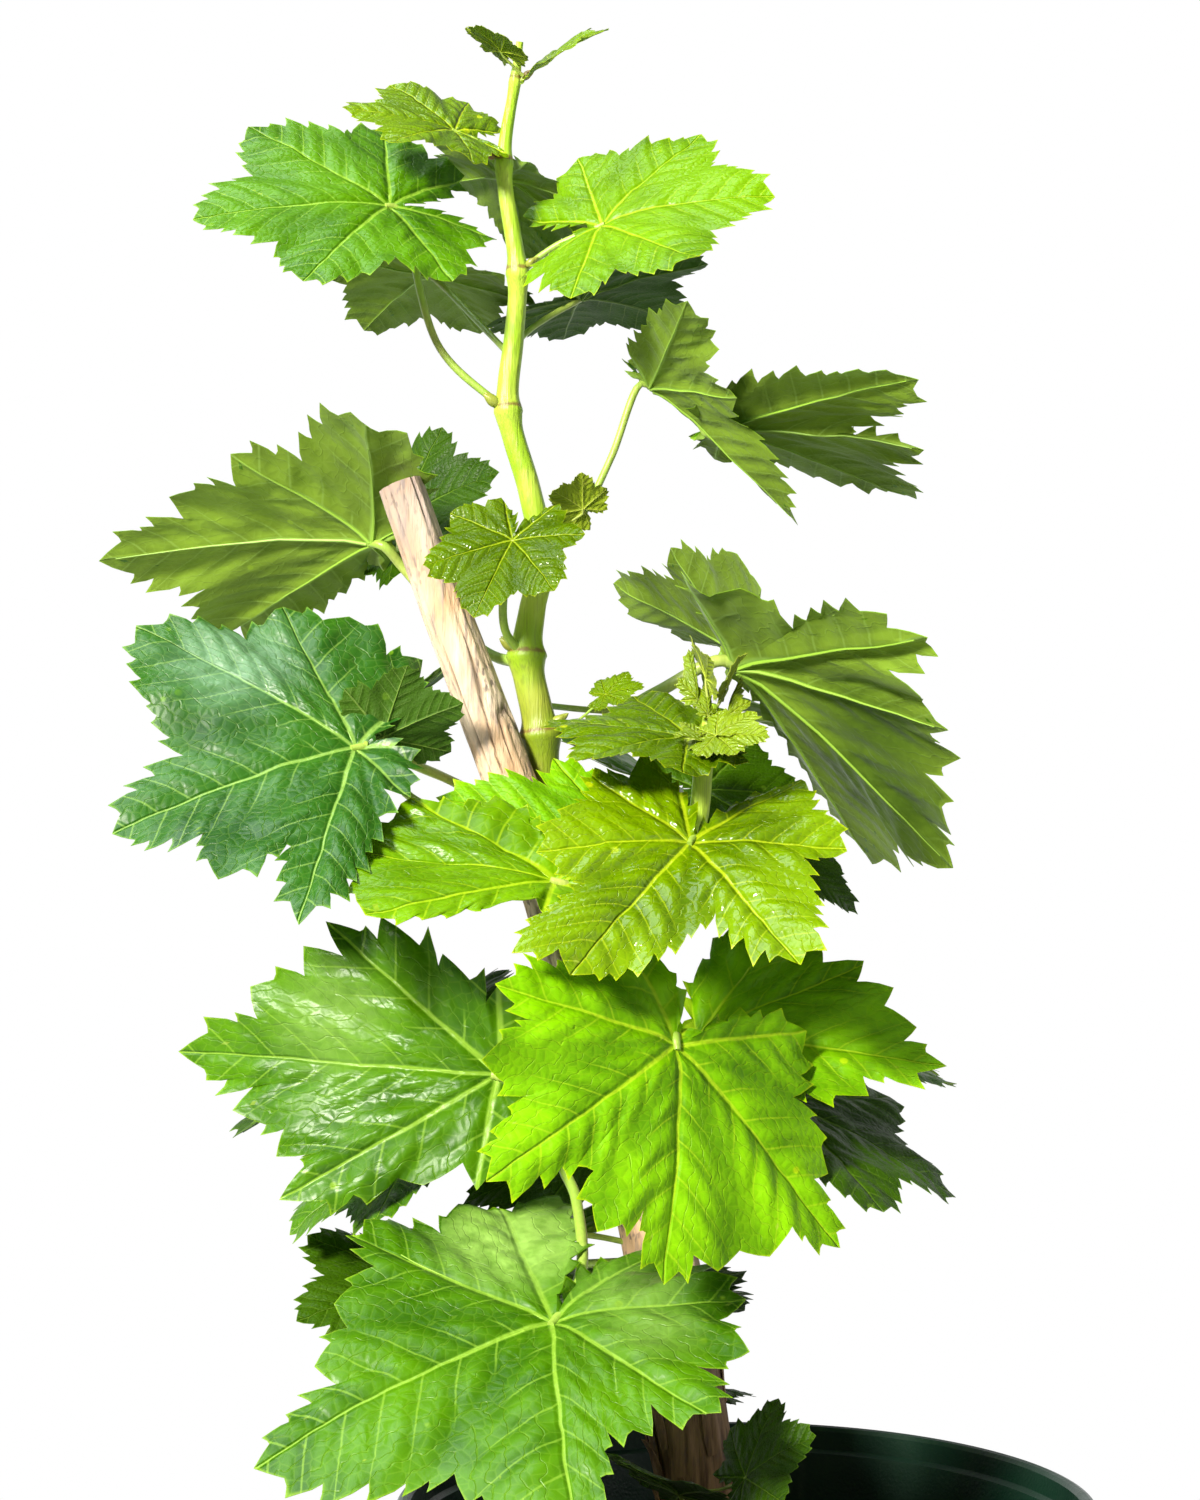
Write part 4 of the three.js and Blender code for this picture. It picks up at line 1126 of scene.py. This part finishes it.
class StageSettings(bpy.types.PropertyGroup):
    floor_radius: bpy.props.FloatProperty(
        name="Floor radius", description="Radius of the round studio floor", default=0.72, min=0.3,
        subtype="DISTANCE", unit="LENGTH")
    key_power: bpy.props.FloatProperty(
        name="Key light", description="Power of the key light",
        default=88, min=0, subtype="POWER", unit="POWER")
    fill_power: bpy.props.FloatProperty(
        name="Fill light", description="Power of the fill light",
        default=3, min=0, subtype="POWER", unit="POWER")
    sky_power: bpy.props.FloatProperty(
        name="Sky light", description="Power of the wide light from above and behind", default=26, min=0,
        subtype="POWER", unit="POWER")
    wall: bpy.props.FloatProperty(
        name="Wall", description="Brightness of the white wall behind the object", default=1.0, min=0)
    front: bpy.props.FloatProperty(
        name="Front", description="Brightness of the room in front of the object", default=0.16, min=0)
    overhead: bpy.props.FloatProperty(
        name="Ceiling", description="Brightness of the ceiling", default=0.3, min=0)


# ---- pieces --------------------------------------------------------------------------------------


def masses():
    """Every mass of foliage as (node, plan of the mass)."""
    yield from FRONT.items()
    yield from TOP.items()
    for i, (look, limb, height, junction, aim, length, *via) in enumerate(BACK, start=1):
        route = via[0] if via else []
        yield f"leaf_back_{i:02d}", mass(limb, height, look, [leaf(junction, aim, length, via=route)])


def finish_cache(make):
    made = {}

    def get(name):
        if name not in made:
            made[name] = make(name)
        return made[name]
    return get


class VINE_OT_leaves(bpy.types.Operator):
    """Grow every leaf's toothed, veined blade in the place of its solid"""
    bl_idname = "vine.leaves"
    bl_label = "Leaves"

    def execute(self, context):
        settings = context.scene.vine_leaf
        faces = finish_cache(lambda name: (
            leaf_face(name, LOOKS[name], True), leaf_face(name, LOOKS[name], False),
            rib_finish(name, LOOKS[name])))
        for seed, (node, plan) in enumerate(masses()):
            shape = Shape()
            own = OWN_LOOKS.get(node, plan["look"])
            blades = plan["leaves"] + APEX if node == "shoot_apex" else plan["leaves"]
            looks = [OWN_LOOKS.get(f"{node} {i}", own) for i in range(len(blades))]
            kinds = list(dict.fromkeys(looks))
            for i, blade in enumerate(blades):
                if i == 0:
                    blade = {**blade, "veins": OWN_VEINS.get(node), "blooms": PAINTED_LIGHT_PATCHES.get(node, ())}
                slot = 3 * kinds.index(looks[i])
                add_blade(shape, blade, LOOKS[looks[i]], 31 * seed + i, settings, node in FRONT, slot)
            piece = shape.build(f"{node}_blade", [face for kind in kinds for face in faces(kind)])
            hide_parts(node)
        return {"FINISHED"}


class VINE_OT_stems(bpy.types.Operator):
    """Carry every leaf on its petiole"""
    bl_idname = "vine.stems"
    bl_label = "Petioles"

    def execute(self, context):
        shape = Shape()
        for _, plan in masses():
            for blade in plan["leaves"]:
                start = plan["limb"].at(plan["height"]) if blade["start"] is None else blade["start"]
                add_stem(shape, start, blade)
        piece = shape.build("petioles", [stem_finish("petiole", tint(150, 184, 70), tint(176, 186, 92))])
        return {"FINISHED"}


def skin_spots(run, angles, girth):
    """Angle, way along and unrolled place in space for each point of a limb's skin."""
    around, up = np.meshgrid(angles, run)
    wide = girth[:, None] * np.ones_like(around)
    spots = np.column_stack([(wide * np.cos(around)).ravel(), (wide * np.sin(around)).ravel(), up.ravel()])
    return around, up, spots


def add_limb(shape, limb, count, sides, relief_of, swellings=()):
    """A limb's skin: rings of points pushed out by its relief and by its swollen nodes."""
    line = even(limb.line, count)
    angles, ways, ids, faces, uv = skin_of(line, sides)
    shares = np.linspace(0, 1, count)
    run = shares * length_of(line)
    girth = limb.girth(shares)
    marks = np.zeros(count)
    for height in swellings:
        away = run - run[np.abs(line[:, 2] - height).argmin()]
        girth = girth + np.where(away < 0, 1.1, 1.5) * np.exp(-((away / 4.2) ** 2)) * girth / 4.5
        marks += np.exp(-(((away - 2.5) / 1.6) ** 2))
    skin = relief_of(run, angles, girth)
    points = line[:, None, :] + ways * (girth[:, None] + skin[0])[:, :, None]
    shape.add(points.reshape(-1, 3), faces, 0, uv, (marks[:, None] + skin[1]).reshape(-1))
    return line, points, ids


def close_end(shape, points, ids, centre, slot, rings=6, lift=None, flip=False):
    """A disc of rings that closes a limb's end."""
    sides = ids.shape[0]
    base = shape.count - points.shape[0] * sides
    edge = points[-1] if not flip else points[0]
    outer = [int(i) + base for i in ids]
    for k in range(1, rings + 1):
        share = 1 - k / rings
        if k < rings:
            ring = centre + (edge - centre) * share
            if lift is not None:
                ring = ring + lift(ring, share)
            inner = list(range(shape.count, shape.count + sides))
            faces = strip(outer, inner)
            shape.add(ring, [], slot)
        else:
            inner = None
            faces = [(outer[i], outer[(i + 1) % sides], shape.count) for i in range(sides)]
            shape.add(centre[None, :] + (lift(centre[None, :], 0) if lift is not None else 0), [], slot)
        faces = [tuple(reversed(face)) for face in faces] if flip else faces
        shape.faces += faces
        shape.slots += [slot] * len(faces)
        outer = inner


class VINE_OT_trunk(bpy.types.Operator):
    """Cover the trunk with fibrous bark, from its flared foot to the pruning cut"""
    bl_idname = "vine.trunk"
    bl_label = "Trunk"

    def execute(self, context):
        settings = context.scene.vine_wood

        def bark(run, angles, girth):
            _, up, spots = skin_spots(run, angles, girth)
            twist = spots + np.outer(up.ravel(), (0.02, 0, 0))
            fibre = rough(twist, (0.5, 0.5, 0.03), 2, 3)
            ridge = grain(twist, (0.16, 0.16, 0.012), 6)
            crack = smooth_step(1 - np.abs(grain(twist, (0.2, 0.2, 0.014), 9)) * 9)
            crack = crack * smooth_step(grain(twist, (0.05, 0.05, 0.02), 4), -0.1, 0.4)
            foot = smooth_step(60 - up.ravel(), 0, 50)
            lobed = foot * (1.2 + 2.2 * grain(twist, (0.09, 0.09, 0.02), 12))
            height = settings.fibre_depth * (fibre * (0.7 + 1.6 * foot) + 0.9 * ridge - 1.6 * crack) + lobed
            return height.reshape(up.shape) - 0.2, (crack * 0.9).reshape(up.shape)

        shape = Shape()
        line, points, ids = add_limb(shape, TRUNK, 340, 110, bark)
        saw = unit(line[-1] - line[-4])

        def cut(ring, share):
            return saw * (0.5 - 0.9 * share**2 + 0.45 * rough(ring, 0.5, 3, 2))[:, None]

        close_end(shape, points, ids[-1], line[-1], 1, 8, cut)
        close_end(shape, points, ids[0], line[0], 0, 3, None, True)
        piece = shape.build("trunk_bark", [bark_finish(), cut_finish()])
        cut_below(piece, (SOIL_TOP - 3) * MM)
        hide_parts("trunk")
        return {"FINISHED"}


def select_only(*pieces):
    """Selects these pieces and no other, and makes the first of them the active one."""
    for other in list(bpy.context.selected_objects):
        other.select_set(False)
    for piece in pieces:
        piece.select_set(True)
    if pieces:
        bpy.context.view_layer.objects.active = pieces[0]


def cut_below(piece, height):
    """Cuts off what of a piece lies below a height, and closes it there."""
    select_only(piece)
    bpy.ops.object.mode_set(mode="EDIT")
    bpy.ops.mesh.select_all(action="SELECT")
    bpy.ops.mesh.bisect(plane_co=(0, 0, height), plane_no=(0, 0, 1), use_fill=True, clear_inner=True)
    bpy.ops.object.mode_set(mode="OBJECT")
    piece.select_set(False)


class VINE_OT_flakes(bpy.types.Operator):
    """Peel strips of bark round the foot of the trunk"""
    bl_idname = "vine.flakes"
    bl_label = "Bark flakes"

    def execute(self, context):
        dice = np.random.default_rng(11)
        shape = Shape()
        line = even(TRUNK.line, 200)
        side, top = across(line)
        for _ in range(context.scene.vine_wood.flakes):
            start = int(dice.uniform(10, 44))
            count = int(dice.uniform(7, 16))
            stop = min(start + count, 60)
            run = np.arange(start, stop)
            angle = dice.uniform(0, 2 * math.pi)
            girth = TRUNK.girth(run / 199)
            share = np.linspace(0, 1, len(run))
            lift = 1.0 + dice.uniform(0.5, 5) * share**2
            out = math.cos(angle) * side[run] + math.sin(angle) * top[run]
            mid = line[run] + out * (girth + lift)[:, None]
            wide = np.cross(unit(np.gradient(mid, axis=0)), out)
            half = dice.uniform(1.2, 3.4) * (1 - 0.8 * np.abs(share - 0.45) ** 1.5)
            curl = 0.25 * half
            rows = []
            for offset, inwards in ((-1, 1), (0, 0), (1, 1)):
                rows.append(mid + wide * (offset * half)[:, None] - out * (inwards * curl)[:, None])
            front = np.stack(rows, axis=1)
            back = front - out[:, None, :] * 0.35
            n = len(run)
            ids = np.arange(n * 3).reshape(n, 3)
            faces = []
            for low, high in zip(ids, ids[1:]):
                for k in (0, 1):
                    faces.append((low[k], low[k + 1], high[k + 1], high[k]))
                    faces.append(tuple(i + 3 * n for i in (high[k], high[k + 1], low[k + 1], low[k])))
                faces.append((low[0], high[0], high[0] + 3 * n, low[0] + 3 * n))
                faces.append((high[2], low[2], low[2] + 3 * n, high[2] + 3 * n))
            for k in (0, 1):
                faces.append((ids[0][k + 1], ids[0][k], ids[0][k] + 3 * n, ids[0][k + 1] + 3 * n))
                faces.append((ids[-1][k], ids[-1][k + 1], ids[-1][k + 1] + 3 * n, ids[-1][k] + 3 * n))
            points = np.concatenate([front.reshape(-1, 3), back.reshape(-1, 3)])
            shape.add(points, faces, 0, None, np.zeros(len(points)))
        piece = shape.build("bark_flakes", [bark_finish()], 40)
        cut_below(piece, (SOIL_TOP - 2) * MM)
        mend_normals(piece)
        return {"FINISHED"}


def mend_normals(piece):
    mesh = bmesh.new()
    mesh.from_mesh(piece.data)
    bmesh.ops.recalc_face_normals(mesh, faces=mesh.faces)
    mesh.to_mesh(piece.data)
    mesh.free()


class VINE_OT_shoots(bpy.types.Operator):
    """Raise the green shoots with their swollen nodes and buds"""
    bl_idname = "vine.shoots"
    bl_label = "Green shoots"

    def execute(self, context):
        def green(run, angles, girth):
            around, up, spots = skin_spots(run, angles, girth)
            grooves = 0.09 * np.cos(9 * around + 0.02 * up)
            lumps = 0.22 * grain(spots, (0.12, 0.12, 0.05), 21).reshape(up.shape)
            return grooves + lumps, np.zeros_like(up)

        for limb, node, nodes, ripe in (
            (MAIN_SHOOT, "main_shoot", SHOOT_NODES, (0.41, 0.53)),
            (RIGHT_SHOOT, "right_shoot", RIGHT_NODES, (0.36, 0.42)),
        ):
            shape = Shape()
            line, points, ids = add_limb(shape, limb, 260 if limb is MAIN_SHOOT else 110, 28, green, nodes)
            close_end(shape, points, ids[-1], line[-1], 0, 3)
            close_end(shape, points, ids[0], line[0], 0, 3, None, True)
            piece = shape.build(f"{node}_skin", [shoot_finish(node, ripe)])
            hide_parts(node)
        buds = Shape()
        for i, height in enumerate(SHOOT_NODES):
            spot = MAIN_SHOOT.at(height)
            way = 1 if i % 2 else -1
            out = unit([way * -0.75, -0.35, 0.55])
            girth = 5.4 if height < 500 else 4.4
            add_bud(buds, spot + out * girth, out, 6.5 if height < 600 else 4.5, i)
        piece = buds.build("buds", [stem_finish("bud_scales", tint(150, 160, 60), tint(126, 84, 48))])
        return {"FINISHED"}


def add_bud(shape, place, out, length, seed):
    """A pointed winter bud of two scales."""
    line = place + np.linspace(0, 1, 9)[:, None] * out * length
    share = np.linspace(0, 1, 9)
    for k in range(2):
        pointed = np.sqrt(np.clip(1 - share**1.6, 0.003, 1))
        girth = 0.3 * length * pointed * (0.75 + 0.5 * np.sin(math.pi * share))
        shift = np.array([0.5, 0.3, 0.2]) * (k - 0.5) * 0.3 * length
        add_tube(shape, line + shift * share[:, None] + 0.1 * k * length * out, girth * (1 - 0.2 * k), 10)


FOOT_SHARE = 88 / 120  # the pot's foot over its rim
BAND = 0.026  # height of the band under the rim, in metres
BAND_STEP = 0.0065  # how far it stands out
DRAIN_HOLES = 6


class VINE_OT_pot(bpy.types.Operator):
    """Turn the round nursery pot with its band, lip, ledge and drain holes"""
    bl_idname = "vine.pot"
    bl_label = "Pot"

    def execute(self, context):
        _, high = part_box("pot")
        rim, height = high[0], high[2]
        foot = rim * FOOT_SHARE
        band = height - BAND
        inner_foot, inner_top = foot - 0.0006, rim - 0.0075
        profile = [
            (foot - 0.004, 0.0), (foot - 0.0005, 0.0006), (foot + 0.0012, 0.003),
            *cone((foot + 0.0018, 0.006), (rim - BAND_STEP - 0.001, band), 10),
            (rim - BAND_STEP, band - 0.0002), (rim - 0.0022, band), (rim - 0.0004, band + 0.0012),
            (rim, band + 0.003),
            (rim, height - 0.0042), (rim - 0.0003, height - 0.0016), (rim - 0.0012, height - 0.0004),
            (rim - 0.0024, height), (rim - 0.0038, height - 0.0004), (rim - 0.0048, height - 0.0018),
            (rim - 0.0053, height - 0.0085), (rim - 0.0074, height - 0.0098),
            *cone((inner_top, height - 0.0105), (inner_top - 0.004, height - 0.045), 4),
            *cone((inner_top - 0.0045, height - 0.047), (inner_foot, 0.0036), 4),
            (inner_foot - 0.003, 0.0032),
        ]
        select_only()
        bpy.ops.mesh.primitive_circle_add(
            vertices=context.scene.vine_pot.segments, radius=profile[0][0], fill_type="TRIFAN")
        pot = context.object
        pot.name = "pot_wall"
        bpy.ops.object.mode_set(mode="EDIT")
        bpy.ops.mesh.select_all(action="SELECT")
        bpy.ops.mesh.region_to_loop()
        for (r0, z0), (r1, z1) in zip(profile, profile[1:]):
            bpy.ops.mesh.extrude_edges_move()
            bpy.ops.transform.resize(value=(r1 / r0, r1 / r0, 1), center_override=(0, 0, z0))
            bpy.ops.transform.translate(value=(0, 0, z1 - z0))
        bpy.ops.mesh.edge_face_add()
        bpy.ops.mesh.select_all(action="SELECT")
        bpy.ops.mesh.normals_make_consistent(inside=False)
        bpy.ops.object.mode_set(mode="OBJECT")
        pierce(pot, drain_drills(rim))
        select_only(pot)
        bpy.ops.object.shade_smooth_by_angle(angle=turn(28))
        pot.data.materials.append(plastic_finish())
        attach(pot, BODY)
        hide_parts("pot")
        return {"FINISHED"}


def cone(start, end, steps):
    """Points from start up to end, for a long plain stretch of a profile."""
    return [tuple(a + (b - a) * i / steps for a, b in zip(start, end)) for i in range(steps + 1)]


def drain_drills(rim):
    drills = []
    for i in range(DRAIN_HOLES):
        angle = 2 * math.pi * i / DRAIN_HOLES
        select_only()
        bpy.ops.mesh.primitive_cylinder_add(
            vertices=32, radius=0.05 * rim, depth=0.03,
            location=(0.46 * rim * math.cos(angle), 0.46 * rim * math.sin(angle), 0))
        bpy.ops.object.transform_apply(location=True, rotation=True, scale=True)
        drills.append(bpy.context.object)
    select_only(*drills)
    bpy.ops.object.join()
    return drills[0]


def pierce(piece, drill):
    """Cuts a drill's shape out of a piece and takes the drill away."""
    cutter = piece.modifiers.new("holes", "BOOLEAN")
    cutter.operation, cutter.solver, cutter.object = "DIFFERENCE", "EXACT", drill
    select_only(piece)
    bpy.ops.object.modifier_apply(modifier=cutter.name)
    bpy.data.objects.remove(drill)


SOIL_SINK = 1.6  # how far the mix's mean level lies under its solid's top
SOIL_DEEP = 22  # its piece reaches this far down
CHIP_EVERY = 9  # one crumb in so many is a chip of bark


def soil_height(spots, radius, wall, top):
    """Height of the mix at points on the level: rough, and slumped along the wall."""
    return top - SOIL_SINK - 5.0 * smooth_step(radius, wall - 9, wall) + 2.2 * rough(spots, 0.11, 5, 4)


class VINE_OT_soil(bpy.types.Operator):
    """Fill the pot with crumbly potting mix"""
    bl_idname = "vine.soil"
    bl_label = "Potting mix"

    def execute(self, context):
        _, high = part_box("potting_soil")
        wall = (high[0] - 0.0022) / MM
        top = high[2] / MM
        shape = Shape()
        rings, sides = 44, 132
        angles = 2 * math.pi * np.arange(sides) / sides
        ids, base = [], 0
        for k in range(rings):
            radius = wall * (1 - k / rings) + (0.8 if k == 0 else 0)
            spots = np.column_stack([radius * np.cos(angles), radius * np.sin(angles), np.zeros(sides)])
            spots[:, 2] = soil_height(spots, radius, wall, top)
            ids.append(list(range(base, base + sides)))
            shape.add(spots, [])
            base += sides
        foot = np.column_stack([wall * 0.97 * np.cos(angles), wall * 0.97 * np.sin(angles),
                                np.full(sides, top - SOIL_DEEP)])
        shape.add(foot, [])
        under = list(range(base, base + sides))
        shape.add([[0, 0, top - SOIL_SINK], [0, 0, top - SOIL_DEEP]], [])
        faces = [face for outer, inner in zip(ids, ids[1:]) for face in strip(outer, inner)]
        faces += [(ids[-1][i], ids[-1][(i + 1) % sides], base + sides) for i in range(sides)]
        faces += strip(under, ids[0])
        faces += [(under[(i + 1) % sides], under[i], base + sides + 1) for i in range(sides)]
        shape.faces, shape.slots = faces, [0] * len(faces)
        piece = shape.build("potting_mix", [soil_finish()], 60)
        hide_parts("potting_soil")
        self.crumble(context.scene.vine_pot.crumbs, wall, top)
        return {"FINISHED"}

    @staticmethod
    def crumble(count, wall, top):
        """Loose crumbs, and among them chips of bark, joined as one piece."""
        dice = np.random.default_rng(3)
        select_only()
        bpy.ops.mesh.primitive_ico_sphere_add(subdivisions=1, radius=1)
        seed_object = bpy.context.object
        mesh = seed_object.data
        points = np.array([v.co[:] for v in mesh.vertices])
        faces = [tuple(p.vertices) for p in mesh.polygons]
        bpy.data.objects.remove(seed_object)
        shape = Shape()
        for k in range(count):
            radius = (wall - 3) * math.sqrt(dice.uniform(0, 1))
            angle = dice.uniform(0, 2 * math.pi)
            size = dice.uniform(0.7, 2.4) * np.array([1, dice.uniform(0.6, 1), dice.uniform(0.4, 0.8)])
            if k % CHIP_EVERY == 0:
                size = np.array([dice.uniform(3, 7), dice.uniform(1.4, 2.6), 0.9])
            facing = dice.uniform(0, 2 * math.pi)
            spin = np.array([[math.cos(facing), -math.sin(facing), 0],
                             [math.sin(facing), math.cos(facing), 0], [0, 0, 1]])
            body = points * (1 + 0.25 * dice.uniform(-1, 1, (len(points), 1))) * size
            spot = np.array([[radius * math.cos(angle), radius * math.sin(angle), 0.0]])
            spot[0, 2] = soil_height(spot, radius, wall, top)[0] + 0.25 * size[2]
            shape.add(body @ spin.T + spot, faces, int(k % CHIP_EVERY == 0))
        chips = soil_finish("bark_chips", tint(84, 54, 34), tint(146, 104, 68))
        piece = shape.build("soil_crumbs", [soil_finish("soil_crumb"), chips], 30)


CAMERA_PLACE = (-0.05, -0.84, 0.403)
CAMERA_LENS, SENSOR = 57.6, 36
CAMERA_RISE = 3.67145  # degrees above the level


class VINE_OT_stage(bpy.types.Operator):
    """Set up the pale floor, the soft studio light and the camera"""
    bl_idname = "vine.stage"
    bl_label = "Stage"

    def execute(self, context):
        settings = context.scene.vine_stage
        select_only()
        bpy.ops.mesh.primitive_circle_add(vertices=128, radius=settings.floor_radius, fill_type="NGON")
        floor = context.object
        floor.name = "floor"
        floor.data.materials.append(floor_finish())
        context.scene.world = self.studio(settings.wall, settings.front, settings.overhead)
        middle = (-0.06, 0.0, 0.42)
        self.lamp("key_light", (-1.01, -1.46, 1.22), middle, 0.35, settings.key_power, (1.0, 0.96, 0.86))
        self.lamp("fill_light", (1.3, -0.9, 0.9), middle, 1.2, settings.fill_power)
        self.lamp("sky_light", (-0.7, -0.3, 1.8), middle, 1.3, settings.sky_power, (0.86, 0.94, 1.0))
        context.scene.view_settings.view_transform = "Standard"
        camera = bpy.data.objects.new("camera", bpy.data.cameras.new("camera"))
        context.scene.collection.objects.link(camera)
        camera.data.lens = CAMERA_LENS
        camera.data.sensor_width = SENSOR
        camera.data.clip_start = 0.05
        camera.location = CAMERA_PLACE
        camera.rotation_euler = (turn(90 + CAMERA_RISE), 0, 0)
        context.scene.camera = camera
        return {"FINISHED"}

    @staticmethod
    def studio(wall, front, overhead):
        """A white wall behind the object, dimmer towards the front and overhead."""
        world = bpy.data.worlds.new("studio")
        world.use_nodes = True
        tree = world.node_tree
        way = tree.nodes.new("ShaderNodeTexCoord")
        parts = tree.nodes.new("ShaderNodeSeparateXYZ")
        tree.links.new(way.outputs["Generated"], parts.inputs[0])

        def fade(value, low, high, start, end):
            node = tree.nodes.new("ShaderNodeMapRange")
            node.interpolation_type = "SMOOTHSTEP"
            for name, number in (("From Min", low), ("From Max", high), ("To Max", end)):
                node.inputs[name].default_value = number
            if isinstance(start, bpy.types.NodeSocket):
                tree.links.new(start, node.inputs["To Min"])
            else:
                node.inputs["To Min"].default_value = start
            tree.links.new(value, node.inputs["Value"])
            return node.outputs[0]

        round_about = fade(parts.outputs[1], -0.1, 0.7, front, wall)
        brightness = fade(parts.outputs[2], 0.36, 0.6, round_about, overhead)
        tree.links.new(brightness, tree.nodes["Background"].inputs["Strength"])
        tree.nodes["Background"].inputs["Color"].default_value = (1, 1, 1, 1)
        return world

    @staticmethod
    def lamp(name, place, target, size, power, colour=(1, 1, 1)):
        light = bpy.data.lights.new(name, "AREA")
        light.shape, light.size, light.energy, light.color = "DISK", size, power, colour
        lamp = bpy.data.objects.new(name, light)
        lamp.location = place
        way = np.array(target) - np.array(place)
        lamp.rotation_euler = (
            math.acos(-way[2] / np.linalg.norm(way)), 0, math.atan2(way[1], way[0]) - math.pi / 2)
        bpy.context.scene.collection.objects.link(lamp)


# ---- sidebar, registration and making ------------------------------------------------------------

SETTINGS = {
    "vine_leaf": LeafSettings, "vine_wood": WoodSettings, "vine_pot": PotSettings,
    "vine_stage": StageSettings,
}
STEPS = (
    VINE_OT_stage, VINE_OT_pot, VINE_OT_soil, VINE_OT_trunk, VINE_OT_flakes, VINE_OT_shoots, VINE_OT_stems,
    VINE_OT_leaves,
)


class VINE_PT_panel(bpy.types.Panel):
    """The grapevine's pieces and settings"""
    bl_idname = "VINE_PT_panel"
    bl_label = "Grapevine"
    bl_space_type = "VIEW_3D"
    bl_region_type = "UI"
    bl_category = "Grapevine"

    def draw(self, context):
        for name, group in SETTINGS.items():
            box = self.layout.box()
            for key in group.__annotations__:
                box.prop(getattr(context.scene, name), key)
        for step in STEPS:
            self.layout.operator(step.bl_idname)


def register():
    for item in (*SETTINGS.values(), *STEPS, VINE_PT_panel):
        bpy.utils.register_class(item)
    for name, group in SETTINGS.items():
        setattr(bpy.types.Scene, name, bpy.props.PointerProperty(type=group))


def unregister():
    for name in SETTINGS:
        delattr(bpy.types.Scene, name)
    for item in (VINE_PT_panel, *reversed(STEPS), *SETTINGS.values()):
        bpy.utils.unregister_class(item)


def main():
    register()
    bpy.ops.vine.stage()
    bpy.ops.vine.pot()
    bpy.ops.vine.soil()
    bpy.ops.vine.trunk()
    bpy.ops.vine.flakes()
    bpy.ops.vine.shoots()
    bpy.ops.vine.stems()
    bpy.ops.vine.leaves()
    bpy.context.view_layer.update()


if __name__ == "__main__":
    main()
